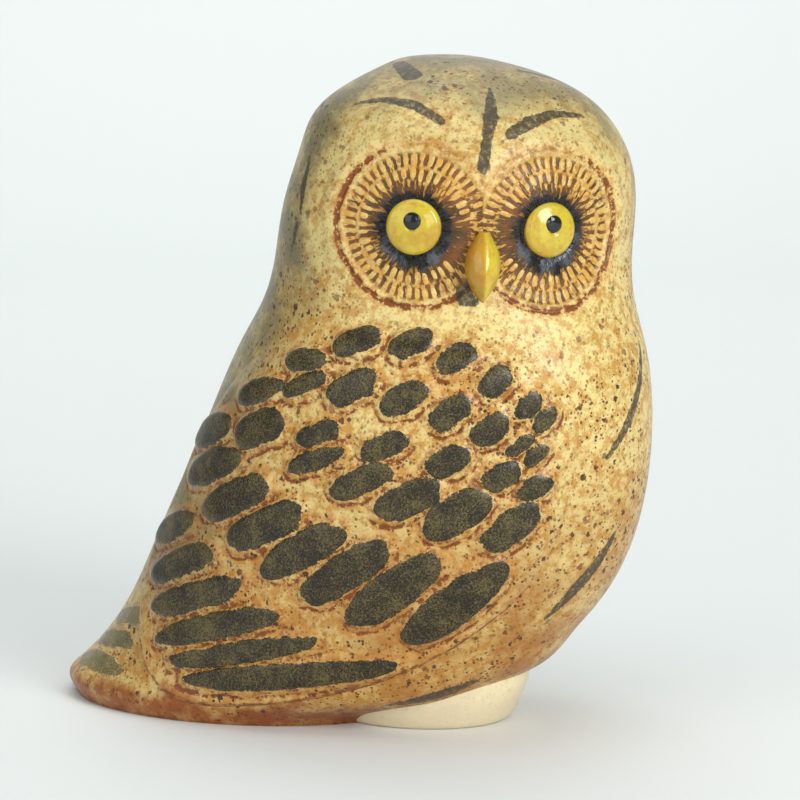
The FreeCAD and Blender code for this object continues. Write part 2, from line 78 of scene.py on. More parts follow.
HEAD_TURN = 27.0                # the face looks this far forward of square to the right
HEAD_TILT = 2.2
EYE_SPLAY = 19.0
DISC_RADIUS = 23.4
DISH_DEPTH = 1.0
DISC_OPENING = DISC_RADIUS + 1.4    # the casting's seat for a disc reaches this far
PATCH_RADIUS = DISC_RADIUS + 7.5    # each disc piece runs out over the head to here
CROWN_CENTRE = np.array([58.0, 0.0, 158.0])     # rows above this level fan out over the crown
WALL = 7.0
TRUNK_CENTRE = np.array([40.0, 0.0, 100.0])
RAY_START = 130.0               # rays at the bird start this far out, clear of all of it
FAR = 999.0                     # stands for a distance that is out of reach
DRAIN = np.array([-22.0, 0.0, 0.0])
DRAIN_RADIUS = 8.0
WING_RISE = 1.6
WING_BACK, WING_REACH = -35.0, 145.0
WING_FOOT, WING_HEIGHT = 9.5, 115.0

# The wing's edge, as shares of its reach and height, round from the rear of the shoulder.
WING_EDGE = [(0.35, 0.93), (0.51, 1.0), (0.72, 1.005), (0.88, 0.96), (0.985, 0.845),
             (1.015, 0.70), (1.0, 0.55), (0.955, 0.40), (0.855, 0.25), (0.64, 0.09),
             (0.40, 0.0), (0.18, -0.025), (0.06, 0.05), (-0.01, 0.22), (-0.01, 0.36),
             (0.035, 0.49), (0.09, 0.66), (0.20, 0.82)]

# Level, place ahead of the wing's root, half length and half width of the bird's flank.
FLANK = [(0.0, -7.7, 54.0, 36.5), (5.6, -2.6, 63.0, 40.0), (14.0, 15.7, 72.9, 42.0),
         (27.0, 25.9, 72.2, 44.5), (42.0, 35.8, 74.0, 46.5), (75.0, 45.0, 70.0, 49.5),
         (110.0, 54.0, 58.0, 48.0), (130.0, 58.0, 52.0, 45.0), (200.0, 59.0, 30.0, 30.0)]

# ---------------------------------------------------------------- small tools


def ramp(value, start, end):
    """0 at start, 1 at end, and smooth between them; start may be the larger."""
    part = np.clip((value - start) / (end - start), 0.0, 1.0)
    return part * part * (3 - 2 * part)


def unit(vectors):
    return vectors / np.maximum(np.linalg.norm(vectors, axis=-1, keepdims=True), 1e-9)


def ripple(points, size, seed):
    """A slow wave between -1 and 1 over points, about size long: the unevenness of a hand."""
    rng = np.random.default_rng(seed)
    total = np.zeros(points.shape[:-1])
    for _ in range(6):
        way = unit(rng.normal(size=3)) * (2 * math.pi / size) * rng.uniform(0.6, 1.5)
        total = total + np.sin(points @ way + rng.uniform(0, 6.28))
    return total / 3.2


def circle(count):
    """Steps round a level circle of radius 1."""
    angles = np.arange(count) * (2 * math.pi / count)
    return np.stack([np.cos(angles), np.sin(angles), 0 * angles], -1)


def node_mesh(*names):
    """Corners (mm) and triangles of CAD nodes as one mesh."""
    corners, faces, start = [], [], 0
    for name in names:
        mesh = frame["nodes"][name].data
        flat = np.empty(len(mesh.vertices) * 3)
        mesh.vertices.foreach_get("co", flat)
        corners.append(flat.reshape(-1, 3) / MM)
        faces += [tuple(v + start for v in poly.vertices) for poly in mesh.polygons]
        start += len(mesh.vertices)
    return np.concatenate(corners), faces


def tree_of(points, faces):
    return BVHTree.FromPolygons([Vector(p) for p in points], faces)


def cast_rays(tree, starts, ways):
    """Where rays land, as points, with NaN where they miss."""
    landed = np.full(starts.shape, np.nan)
    flat_starts, flat_ways = starts.reshape(-1, 3), ways.reshape(-1, 3)
    flat = landed.reshape(-1, 3)
    for k in range(len(flat)):
        hit = tree.ray_cast(Vector(flat_starts[k]), Vector(flat_ways[k]))[0]
        if hit is not None:
            flat[k] = hit
    return landed


def spline_weights(places, count, wrap):
    """Indices and weights of a uniform cubic B-spline over count knots."""
    base = np.floor(places).astype(int)
    t = places - base
    weights = np.stack([(1 - t) ** 3, 3 * t ** 3 - 6 * t ** 2 + 4,
                        -3 * t ** 3 + 3 * t ** 2 + 3 * t + 1, t ** 3], axis=-1) / 6
    index = base[..., None] + np.arange(-1, 3)
    index = index % count if wrap else np.clip(index, 0, count - 1)
    return index, weights


def spline_surface(knots, rows, columns, wrap=False):
    """Smooth points of a grid of knots at the given row and column places."""
    ri, rw = spline_weights(rows, knots.shape[0], False)
    ci, cw = spline_weights(columns, knots.shape[1], wrap)
    across = np.einsum("rkcd,rk->rcd", knots[ri], rw)
    return np.einsum("rckd,ck->rcd", across[:, ci], cw)


def fill_gaps(grid, wrap):
    """Fills NaN knots of a grid with the mean of their neighbours, as a stretched film."""
    holes = np.isnan(grid[..., 0])
    grid = grid.copy()
    grid[holes] = np.nanmean(grid.reshape(-1, grid.shape[-1]), axis=0)
    for _ in range(400):
        up = np.concatenate([grid[:1], grid[:-1]])
        down = np.concatenate([grid[1:], grid[-1:]])
        left, right = np.roll(grid, 1, axis=1), np.roll(grid, -1, axis=1)
        if not wrap:
            left[:, 0], right[:, -1] = grid[:, 0], grid[:, -1]
        grid[holes] = ((up + down + left + right) / 4)[holes]
    return grid


def grid_normals(points, wrap=False):
    """Unit normals of a grid of points (row direction cross column direction)."""
    down = np.gradient(points, axis=0)
    if wrap:
        round_it = np.roll(points, -1, axis=1) - np.roll(points, 1, axis=1)
    else:
        round_it = np.gradient(points, axis=1)
    return unit(np.cross(round_it, down))


def facing(normals, out):
    """A grid's normals, turned over if most of them look away from out."""
    return normals * np.sign((normals @ out).mean())


def add_marks(mesh, marks):
    """Stores the values that the glazes read as attributes of the mesh's corners."""
    for mark, values in marks.items():
        values = np.asarray(values, dtype=float)
        kind = "FLOAT_VECTOR" if values.ndim == 2 else "FLOAT"
        layer = mesh.attributes.new(mark, kind, "POINT")
        layer.data.foreach_set("vector" if values.ndim == 2 else "value", values.ravel())


def add_object(name, data):
    thing = bpy.data.objects.new(name, data)
    bpy.context.scene.collection.objects.link(thing)
    return thing


def add_piece(name, mesh, slot):
    piece = add_object(name, mesh)
    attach(piece, "root")
    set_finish(piece, slot)
    return piece


def make_piece(name, points, faces, slot, node, marks, normals=None):
    """A smooth piece from points in mm, in the place of a CAD node.

    Where normals are given, a thin edge that dives under its neighbour is shaded as if it
    ran on level; zero normals leave the mesh's own.
    """
    mesh = bpy.data.meshes.new(name)
    mesh.from_pydata((points * MM).tolist(), [], faces, shade_flat=False)
    mesh.validate()
    add_marks(mesh, marks)
    mesh.update()
    if normals is not None:
        mesh.normals_split_custom_set_from_vertices(normals.tolist())
    piece = add_piece(name, mesh, slot)
    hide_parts(node)
    return piece


def make_sheet(name, front, back, corner_ok, slot, node, marks, normals):
    """A thin closed piece between two grids, where corner_ok; the marks serve both sides."""
    used, faces = sheet_faces(corner_ok)
    points = np.concatenate([front[used], back[used]])
    faces = oriented(points, faces)
    marks = {mark: np.concatenate([values[used]] * 2) for mark, values in marks.items()}
    shading = np.concatenate([normals[used], np.zeros(normals[used].shape)])
    make_piece(name, points, faces, slot, node, {**paint(points), **marks}, shading)
    return tree_of(points, faces)


def tube_faces(rows, columns):
    """Faces of a closed tube of rings; the two points after the rings cap its ends."""
    faces = []
    last, ends = (rows - 1) * columns, rows * columns
    for start in range(0, last, columns):
        for c in range(columns):
            a, b = start + c, start + (c + 1) % columns
            faces.append((a, b, b + columns, a + columns))
    for c in range(columns):
        after = (c + 1) % columns
        faces += [(ends, after, c), (ends + 1, last + c, last + after)]
    return faces


def sheet_faces(corner_ok):
    """Front, back and edge faces of the cells whose four corners are ok, and who is used."""
    cells = corner_ok[:-1, :-1] & corner_ok[1:, :-1] & corner_ok[:-1, 1:] & corner_ok[1:, 1:]
    padded = np.pad(cells, 1)
    used = padded[1:, 1:] | padded[1:, :-1] | padded[:-1, 1:] | padded[:-1, :-1]
    total = int(used.sum())
    number = np.zeros(used.shape, dtype=int)
    number[used] = np.arange(total)
    faces = []
    for r, c in zip(*np.nonzero(cells)):
        (a, b), (d, e) = number[r:r + 2, c:c + 2]
        faces.append((a, b, e, d))
        faces.append((a + total, d + total, e + total, b + total))
        for beyond, one, two in ((padded[r, c + 1], a, b), (padded[r + 2, c + 1], e, d),
                                 (padded[r + 1, c], d, a), (padded[r + 1, c + 2], b, e)):
            if not beyond:
                faces.append((two, one, one + total, two + total))
    return used, faces


def oriented(points, faces):
    """Faces with their order turned so that a closed mesh has its normals outwards."""
    volume = 0.0
    for face in faces:
        a = points[face[0]]
        for b, c in zip(face[1:], face[2:]):
            volume += np.dot(a, np.cross(points[b], points[c]))
    return faces if volume > 0 else [face[::-1] for face in faces]


def closed_curve(corners, count):
    """Points of a smooth closed curve through corners."""
    corners = np.asarray(corners)
    total = len(corners)
    places = np.linspace(0, total, count, endpoint=False)
    k = places.astype(int)
    t = (places - k)[:, None]
    p0, p1, p2, p3 = (corners[(k + step) % total] for step in (-1, 0, 1, 2))
    return 0.5 * (2 * p1 + (p2 - p0) * t + (2 * p0 - 5 * p1 + 4 * p2 - p3) * t ** 2
                  + (3 * p1 - p0 - 3 * p2 + p3) * t ** 3)


def inside_distance(points, outline):
    """Distance of flat points from a closed outline, positive inside it."""
    ends = np.roll(outline, -1, axis=0)
    nearest = np.full(len(points), np.inf)
    crossings = np.zeros(len(points), dtype=int)
    for a, b in zip(outline, ends):
        ab = b - a
        t = np.clip(((points - a) @ ab) / (ab @ ab), 0, 1)
        nearest = np.minimum(nearest, np.linalg.norm(points - a - t[:, None] * ab, axis=1))
        spans = (a[1] > points[:, 1]) != (b[1] > points[:, 1])
        slope = (points[:, 1] - a[1]) / (ab[1] if ab[1] else 1e-9)
        crossings += spans & (points[:, 0] < a[0] + slope * ab[0])
    return np.where(crossings % 2 == 1, nearest, -nearest)


# ---------------------------------------------------------------- where things are


def islands(name):
    """The separate solids of a CAD node, each as an array of corners in mm."""
    points, faces = node_mesh(name)
    merged, where = np.unique(np.round(points, 3), axis=0, return_inverse=True)
    where = where.ravel()
    parent = list(range(len(merged)))

    def root(k):
        while parent[k] != k:
            parent[k] = parent[parent[k]]
            k = parent[k]
        return k

    for face in faces:
        for v in face[1:]:
            parent[root(where[v])] = root(where[face[0]])
    groups = {}
    for k in range(len(merged)):
        groups.setdefault(root(k), []).append(merged[k])
    return [np.array(group) for group in groups.values() if len(group) > 3]


turn, tilt = math.radians(HEAD_TURN), math.radians(HEAD_TILT)
FACE_OUT = np.array([math.sin(turn), -math.cos(turn), 0.0])
level_side = np.array([math.cos(turn), math.sin(turn), 0.0])
FACE_SIDE = level_side * math.cos(tilt) - np.array([0, 0, 1.0]) * math.sin(tilt)
FACE_UP = np.cross(FACE_OUT, FACE_SIDE)
FACE_UP = FACE_UP if FACE_UP[2] > 0 else -FACE_UP


class Axes:
    """A middle and three axes, the last one outwards."""

    def __init__(self, middle, axes):
        self.middle, self.axes, self.out = middle, np.array(axes), axes[2]

    def flat(self, points):
        """How far points lie along each axis."""
        return (points - self.middle) @ self.axes.T

    def place(self, *flat):
        """The points that lie so far along each axis."""
        return self.middle + np.stack(np.broadcast_arrays(*flat), -1) @ self.axes


class EyeSeat(Axes):
    """The axes of one eye, across, up and outwards, from the middle of its front."""

    def __init__(self, name, side):
        self.side = side
        splay = math.radians(EYE_SPLAY) * side
        super().__init__(np.zeros(3), [FACE_SIDE * math.cos(splay) - FACE_OUT * math.sin(splay),
                                       FACE_UP,
                                       FACE_OUT * math.cos(splay) + FACE_SIDE * math.sin(splay)])
        flat = self.flat(node_mesh(f"{name}_eye")[0])
        low, high = flat.min(axis=0), flat.max(axis=0)
        self.middle = self.place(*(low + high)[:2] / 2, high[2])

    def radius(self, points):
        return np.linalg.norm(self.flat(points)[..., :2], axis=-1)


EYES = {"right": EyeSeat("right", -1), "left": EyeSeat("left", 1)}
FACE_MIDDLE = (EYES["right"].middle + EYES["left"].middle) / 2


def face_side_of(points):
    """How far points lie to the owl's left of the middle of its face."""
    return (points - FACE_MIDDLE) @ FACE_SIDE


def disc_radius_at(points):
    """Distance from the nearer eye's axis, and large behind the head."""
    ahead = (points - FACE_MIDDLE) @ FACE_OUT
    radii = np.minimum(EYES["right"].radius(points), EYES["left"].radius(points))
    return np.where(ahead > -30, radii, FAR)


# ---------------------------------------------------------------- brush strokes and washes

# Each stroke: points of its run on the owl and the half width at each.
STROKES = [
    ([(79.4, -21.2, 192.2), (82.4, -29.2, 185.1), (82.9, -34.1, 178.3), (83.0, -37.8, 170.6)],
     (0.5, 1.9, 1.3, 1.6)),
    ([(41.6, -31.4, 187.6), (51.2, -32.5, 189.1), (61.1, -34.3, 187.8), (69.7, -36.2, 183.5)],
     (0.5, 1.1, 1.5, 1.2)),
    ([(88.6, -29.5, 179.8), (92.3, -23.5, 182.9), (97.1, -14.7, 185.0), (103.1, -4.7, 183.6)],
     (1.6, 1.8, 1.3, 0.6)),
    ([(47.6, -11.6, 198.4), (55.7, -21.9, 195.5)], (1.8, 2.6)),
    ([(82, -1.4, 196.2), (88.1, 3.7, 194.3), (91.7, 11.9, 192.1)], (1.1, 1.5, 0.5)),
    ([(77.5, -39.9, 137.3), (78.3, -39.8, 133.3), (80.8, -39.0, 132.2)], (1.7, 2.2, 1.2)),
    ([(27.6, -31.6, 172.1), (26.7, -34.9, 163.6), (26.7, -37.5, 155.1)], (0.5, 1.3, 0.5)),
    ([(25.1, -36.6, 152.0), (22.2, -34.3, 142.8)], (1.0, 0.4)),
    ([(119.2, 0.6, 116.3), (120.9, -6, 105.4), (119.5, -13.1, 94.6), (115.4, -20.4, 85.2)],
     (0.6, 1.3, 1.5, 0.6)),
    ([(116.3, -12.4, 63.1), (112.1, -15.5, 54.4), (105.6, -19.1, 45.7), (97.2, -21.6, 36.6)],
     (0.5, 1.7, 1.9, 0.6)),
    ([(79.6, -23.3, 17.1), (71.1, -26.9, 13.6), (62.6, -29.5, 11.1), (50.9, -31.9, 8.5)],
     (1.2, 2.0, 2.0, 0.8)),
]
# Short dashes down the back and the nape: level, place round the back in degrees, length.
BACK_DASHES = [(182, 8, 12), (176, -16, 11), (170, 26, 12), (160, 2, 14), (152, -22, 12),
               (143, 18, 14), (130, -6, 15), (117, 12, 15), (103, -10, 16), (88, 7, 16)]
BACK_DASH_WIDTHS = (0.4, 1.5, 0.5)
MIRROR_BELOW = 125.0            # strokes below this level come again on the unseen side
BREAST_AHEAD = 90.0             # strokes that reach further forward are on the breast
FAR_STROKE_TURN = 0.30          # the unseen side's breast strokes lie further round, radians
STROKE_SPREAD = 1.2
NO_STROKE = -4.0                # the depth inside a stroke, far outside of all of them


def on_axis(levels):
    """Points of the trunk's leaning axis."""
    levels = np.asarray(levels, dtype=float)
    return np.stack([np.interp(levels, *axis_line), 0 * levels, levels], -1)


def stroke_runs(ground):
    """Every stroke as segments with half widths, mirrored ones and back dashes included."""
    def on_ground(levels, angles):
        out = np.stack([np.cos(angles), np.sin(angles), 0 * angles], -1)
        return cast_rays(ground, on_axis(levels) + out * RAY_START, -out)

    runs = []
    for points, widths in STROKES:
        points = np.array(points, dtype=float)
        runs.append((points, widths))
        if points[:, 2].max() < MIRROR_BELOW:
            apart = points - on_axis(points[:, 2])
            turns = np.arctan2(-apart[:, 1], apart[:, 0])
            turns = turns + FAR_STROKE_TURN * (points[:, 0].max() > BREAST_AHEAD)
            runs.append((on_ground(points[:, 2], turns), widths))
    parts = np.array([-0.5, 0.0, 0.5])
    for level, bearing, length in BACK_DASHES:
        runs.append((on_ground(level + parts * length,
                               math.radians(180 + bearing) + 0.05 * parts),
                     BACK_DASH_WIDTHS))
    return [(a, b, wide_a * STROKE_SPREAD, wide_b * STROKE_SPREAD)
            for points, widths in runs if not np.isnan(points).any()
            for a, b, wide_a, wide_b in zip(points, points[1:], widths, widths[1:])]


def paint(points):
    """Marks the glazes read: depth inside a stroke, wash, nearness of the face and rust."""
    stroke = np.full(len(points), NO_STROKE)
    for a, b, wide_a, wide_b in SEGMENTS:
        ab = b - a
        t = np.clip(((points - a) @ ab) / (ab @ ab), 0, 1)
        away = np.linalg.norm(points - a - t[:, None] * ab, axis=1)
        stroke = np.maximum(stroke, wide_a + (wide_b - wide_a) * t - away)
    z = points[:, 2]
    out = unit(points - on_axis(np.minimum(z, CROWN_CENTRE[2])))
    on_head = ramp(z, 118, 150)
    behind = ramp(-(out @ FACE_OUT) - 0.35 * out[:, 0] + 0.48 * on_head, -0.45, 0.30)
    crown = ramp(z, 160, 180)
    wash = np.clip(np.maximum(crown * 0.85, behind * ramp(z, 8, 60)), 0, 1)
    face = ramp(disc_radius_at(points), PATCH_RADIUS + 16, DISC_RADIUS)
    return {"stroke": stroke, "wash": wash, "face": face, "rust": rust_round_discs(points)}


# ---------------------------------------------------------------- the cast body

body_tree = tree_of(*node_mesh("body_shell"))
disc_tree = tree_of(*node_mesh("right_facial_disc", "left_facial_disc"))

axis_levels = np.linspace(0, CROWN_CENTRE[2], 24)
axis_line = (axis_levels, np.interp(axis_levels, [row[0] for row in FLANK],
                                    [row[1] for row in FLANK]))

KNOT_COLUMNS, KNOT_STEP = 132, 3.0
SKIN_COLUMNS, SKIN_STEP = 372, 1.0
HEM_LEVEL = 0.8
HOLLOW_STRIDE = 12              # the hollow takes every twelfth ring of the skin
SETBACK = 0.1                   # keeps the modelled surface inside the CAD one
BELLY_LIFT = 4.0                # the belly is rounded up by this much over the foot
HEM_RINGS = [(0.25, 0.3), (0.9, 0.0)]    # inset and level of the rings under the hem


def setback(points):
    """How far the modelled surface is drawn in, with a slow unevenness."""
    return SETBACK + 0.12 * (1 + ripple(points, 34, 3))


def body_knots():
    """Coarse knots of the bare outer skin, from the hem to the pole of the crown."""
    levels = np.arange(HEM_LEVEL, CROWN_CENTRE[2], KNOT_STEP)
    climbs = np.radians(np.arange(0, 88, 4.0))
    rows = [(middle, 0.0) for middle in on_axis(levels)]
    rows += [(CROWN_CENTRE, climb) for climb in climbs]
    knots = []
    for middle, climb in rows:
        way = circle(KNOT_COLUMNS) * math.cos(climb) + np.array([0, 0, math.sin(climb)])
        knots.append(cast_rays(body_tree, middle + way * RAY_START, -way))
    knots = np.array(knots)
    knots[disc_radius_at(knots) < DISC_OPENING] = np.nan
    knots = fill_gaps(knots, True)
    top = body_tree.ray_cast(Vector(CROWN_CENTRE + (0, 0, 90)), Vector((0, 0, -1)))[0]
    half_turn = np.roll(knots, KNOT_COLUMNS // 2, axis=1)
    over_top = [np.tile(np.array(top), (KNOT_COLUMNS, 1)), half_turn[-1], half_turn[-2]]
    below = [2 * knots[0] - knots[1]]
    return np.concatenate([below, knots, over_top]), len(knots)


def body_skin():
    """The closed casting: outer skin, sole, drain hole and the hollow above it."""
    knots, count = body_knots()
    rows = np.linspace(1, count + 1, int(count * KNOT_STEP / SKIN_STEP))
    columns = np.linspace(0, KNOT_COLUMNS, SKIN_COLUMNS, endpoint=False)
    outer = spline_surface(knots, rows, columns, wrap=True)
    normals = grid_normals(outer, wrap=True)
    side = np.sign(np.einsum("rcd,rcd->rc", normals, outer - TRUNK_CENTRE).mean())
    normals = normals * side
    normals[-1] = normals[-2]
    outer[..., 2] += BELLY_LIFT * ramp(outer[..., 0], 60, 88) * ramp(outer[..., 2], 26, 9)
    radii = disc_radius_at(outer)
    level = outer - normals * (setback(outer) - ridge_height(radii, outer))[..., None]
    shaded = grid_normals(level, wrap=True) * side
    outer = level - normals * 3.0 * ramp(radii, PATCH_RADIUS - 2.5, PATCH_RADIUS - 6.0)[..., None]
    hem = outer[0] * (1, 1, 0) + (0, 0, HEM_LEVEL)
    outwards = unit(hem * (1, 1, 0) - hem.mean(axis=0) * (1, 1, 0))
    rings = [(hem - outwards * inset) * (1, 1, 0) + (0, 0, z) for inset, z in HEM_RINGS]
    hole = DRAIN + DRAIN_RADIUS * circle(SKIN_COLUMNS)
    sole = [rings[-1] + (hole - rings[-1]) * part for part in (0.3, 0.65, 0.97)]
    rounded = DRAIN + (hole - DRAIN) * 0.97 + (0, 0, 0.6)
    throat = rounded + (0, 0, WALL - 0.6)
    inner = [ring for ring in outer[::HOLLOW_STRIDE] - normals[::HOLLOW_STRIDE] * WALL
             if WALL + 3 < ring[:, 2].min()][:-1]
    floor = [throat + (inner[0] - throat) * part for part in (0.35, 0.7, 0.95)]
    skin_rings = [*outer[::-1], *rings, *sole, hole, rounded, throat, *floor, *inner]
    ends = [[skin_rings[0].mean(axis=0), skin_rings[-1].mean(axis=0)]]
    points = np.concatenate(skin_rings + ends)
    faces = [face[::-1] for face in tube_faces(len(skin_rings), SKIN_COLUMNS)]
    glazed = len(outer) * SKIN_COLUMNS
    bare = np.zeros(len(points))
    bare[glazed + SKIN_COLUMNS:-2] = 1
    shading = np.zeros(points.shape)
    shading[:glazed] = shaded[::-1].reshape(-1, 3)
    shading[:SKIN_COLUMNS] = 0
    return points, faces, {**paint(points), "bare": bare}, shading


def ridge_height(radii, points):
    """The soft ridge round the discs, strongest over the brows."""
    high = ramp((points - FACE_MIDDLE) @ FACE_UP, -16, 16)
    return (0.25 + 0.65 * high) * np.exp(-((radii - DISC_RADIUS - 3.2) / 2.3) ** 2)


def outer_share(points):
    """0 at the inner top of the discs, where their line fades out, to 1 below and outside."""
    across = np.abs(face_side_of(points)) - 20
    up = (points - FACE_MIDDLE) @ FACE_UP
    return ramp(0.9 * across - 0.9 * up, -20, 6)


def rust_round_discs(points):
    radii = disc_radius_at(points)
    line = np.exp(-((radii - DISC_RADIUS) / 0.85) ** 2)
    glow = ramp(radii, DISC_RADIUS + 4.5, DISC_RADIUS - 1)
    return (0.25 + 1.35 * outer_share(points)) * line + 0.34 * glow


SEGMENTS = stroke_runs(body_tree)
skin, skin_quads, skin_marks, skin_shading = body_skin()
skin_surface = tree_of(skin, skin_quads)
make_piece("cast_body", skin, skin_quads, "clay_glaze", "body_shell", skin_marks,
           skin_shading)

# ---------------------------------------------------------------- facial discs

DISC_STEP = 0.42
DISC_THICKNESS = 4.4
EYE_REACH = 11.0                # the eyes' seats end inside this radius
HEAD_DEPTH = 40.0               # points further behind an eye aren't of its side of the head
HEAD_DEGREE = 7
# How fast the streaks of the discs change round the eye, and how slowly outwards.
FLOW_ROUND, FLOW_OUT = 17.0, 3.4


def disc_relief(radii, points):
    """Height of the disc's dish, incised line and brow ridge over the bare head."""
    dish = -DISH_DEPTH * ramp(radii, DISC_RADIUS - 0.1, DISC_RADIUS - 2.6)
    rim = 0.35 * np.exp(-((radii - DISC_RADIUS + 1.6) / 0.8) ** 2)
    line = -0.65 * np.exp(-((radii - DISC_RADIUS) / 0.45) ** 2)
    line = line * (0.3 + 0.7 * outer_share(points))
    eye_socket = -0.5 * ramp(radii, 10.5, 8.8)
    return dish + rim + line + eye_socket + ridge_height(radii, points)


class HeadSurface:
    """A smooth polynomial of the bare head over one eye's across and up."""

    def __init__(self, seat):
        self.seat, self.reach = seat, PATCH_RADIUS + 5
        steps = np.arange(-self.reach, self.reach + 0.1, 1.5)
        starts = seat.place(*np.meshgrid(steps, steps), 60.0).reshape(-1, 3)
        ways = np.tile(-seat.out, (len(starts), 1))
        flat = []
        for surface, nearest, farthest, lift in (
                (body_tree, DISC_OPENING + 0.4, math.inf, 0.0),
                (disc_tree, EYE_REACH, DISC_RADIUS - 4.5, DISH_DEPTH)):
            landed = cast_rays(surface, starts, ways)
            radii = disc_radius_at(landed)
            good = ~np.isnan(landed[:, 0]) & (radii > nearest) & (radii < farthest)
            flat.append(seat.flat(landed[good]) + (0, 0, lift))
        flat = np.concatenate(flat)
        near = np.linalg.norm(flat[:, :2], axis=1) < self.reach
        flat = flat[near & (flat[:, 2] > -HEAD_DEPTH)]
        self.terms = [(i, j) for i in range(HEAD_DEGREE + 1)
                      for j in range(HEAD_DEGREE + 1 - i)]
        table = self.table(flat[:, 0], flat[:, 1])
        self.weights = np.linalg.lstsq(table, flat[:, 2], rcond=None)[0]

    def table(self, across, up):
        a, b = across / self.reach, up / self.reach
        return np.stack([a ** i * b ** j for i, j in self.terms], -1)

    def point(self, across, up):
        return self.seat.place(across, up, self.table(across, up) @ self.weights)

    def normal(self, across, up, step=0.3):
        along = self.point(across + step, up) - self.point(across - step, up)
        upward = self.point(across, up + step) - self.point(across, up - step)
        return facing(unit(np.cross(along, upward)), self.seat.out)


def facial_disc(name):
    """One disc with its dish, rim and incised line, run out thinly over the head."""
    seat = EYES[name]
    head = HeadSurface(seat)
    steps = np.arange(-PATCH_RADIUS, PATCH_RADIUS + DISC_STEP, DISC_STEP)
    across, up = np.meshgrid(steps, steps)
    ground, normals = head.point(across, up), head.normal(across, up)
    radii, angle = np.hypot(across, up), np.arctan2(up, across)
    past_middle = -seat.side * face_side_of(ground)
    rough = ripple(ground, 3.1, 11) * ripple(ground, 1.9, 12)
    height = disc_relief(radii, ground) - setback(ground)
    height = height + 0.10 * rough * ramp(radii, DISC_RADIUS - 1, DISC_RADIUS - 3)
    level = ground + normals * height[..., None]
    lap = 0.04 - 0.22 * ramp(radii, PATCH_RADIUS - 2.5, PATCH_RADIUS - 0.9)
    lap = lap - 2.6 * ramp(radii, PATCH_RADIUS - 1.0, PATCH_RADIUS)
    lap = lap - 2.6 * ramp(past_middle, 0.05, 1.6)
    marks = {"flow": np.stack([np.cos(angle) * FLOW_ROUND, np.sin(angle) * FLOW_ROUND,
                               radii / FLOW_OUT], -1),
             "reach": radii, "above": up / np.maximum(radii, 1),
             "inner": ramp(-seat.side * across - 0.3 * up, 2, 19)}
    return make_sheet(f"{name}_facial_disc_relief", level + normals * lap[..., None],
                      ground - normals * DISC_THICKNESS,
                      (radii < PATCH_RADIUS) & (past_middle < 1.8),
                      "disc_glaze", f"{name}_facial_disc", marks,
                      facing(grid_normals(level), seat.out))


disc_grounds = {name: facial_disc(name) for name in EYES}

# ---------------------------------------------------------------- eyes and pupils


def round_cap(name, node, seat, slot, rings, depth=3.0, segments=72):
    """A lathed cap that follows a CAD node along one eye's axis."""
    corners, faces = node_mesh(node)
    tree = tree_of(corners, faces)
    flat = seat.flat(corners)
    low, high = flat.min(axis=0), flat.max(axis=0)
    centre, radius = (low + high) / 2, (high[0] - low[0]) / 2
    cosines, sines, _ = circle(segments).T

    def ring(reach, height):
        return seat.place(centre[0] + reach * cosines, centre[1] + reach * sines, height)

    rows = []
    for share in [0.0, *np.sin(np.linspace(0, math.pi / 2, rings + 1)[1:]) ** 0.8]:
        landed = cast_rays(tree, ring(radius * share * 0.985, 30.0),
                           np.tile(-seat.out, (segments, 1)))
        rows.append((radius * share, np.nanmax(seat.flat(landed)[:, 2])))
    edge = rows[-1][1] - 0.25
    rows[-1:] = [(radius, edge), (radius, edge - depth / 2), (radius * 0.9, edge - depth)]
    ends = [seat.place(*centre[:2], height) for height in (rows[0][1], rows[-1][1])]
    points = np.concatenate([ring(*row) for row in rows[1:]] + [ends])
    points[:-1] += seat.out * (ripple(points, 5.0, 21) * 0.07)[:-1, None]
    flat = seat.flat(points)
    # Painted shade: the mark is lowest on the cap's lower side towards the owl's right, away from
    # the window lamp, where the yellow glaze turns amber; the black pupils don't read it.
    marks = {"shade": 0.16 * (flat[:, 0] + flat[:, 1]) + 1.4}
    make_piece(name, points, oriented(points, tube_faces(len(rows) - 1, segments)), slot,
               node, marks)


for side_name, seat in EYES.items():
    round_cap(f"{side_name}_eye_dome", f"{side_name}_eye", seat, "yellow_glaze", 14)
    round_cap(f"{side_name}_pupil_bead", f"{side_name}_pupil", seat, "black_glaze", 8,
              depth=1.2, segments=40)

# ---------------------------------------------------------------- beak and foot

# Level of each ring of the foot and how far it stands in from the widest.
FOOT_RINGS = [(0.0, 3.0), (0.35, 2.2), (1.1, 1.4), (2.4, 0.6), (4.5, -0.6), (8.0, -2.0),
              (12.0, -3.6), (16.0, -4.2), (20.0, -3.0)]
FOOT_MIDDLE, FOOT_HALF = np.array([50.0, 0.0, 0.0]), np.array([30.5, 24.5, 0.0])
FOOT_COLUMNS = 144
BEAK_EDGE = 22.0                # an edge of the beak is sharp where it turns by more, degrees


def beak():
    """The CAD beak with its loose triangles joined and only real edges left sharp."""
    points, faces = node_mesh("beak")
    merged, where = np.unique(np.round(points, 4), axis=0, return_inverse=True)
    where = where.ravel()
    joined = [tuple(where[v] for v in face) for face in faces]
    joined = [face for face in joined if len(set(face)) == len(face)]
    # Painted shade: the shade mark runs low on the beak's side towards the owl's right, away from
    # the window lamp, and the yellow glaze turns that side amber.
    piece = make_piece("beak_keel", merged, oriented(merged, joined), "yellow_glaze", "beak",
                       {"shade": face_side_of(merged)})
    piece.data.set_sharp_from_angle(angle=math.radians(BEAK_EDGE))


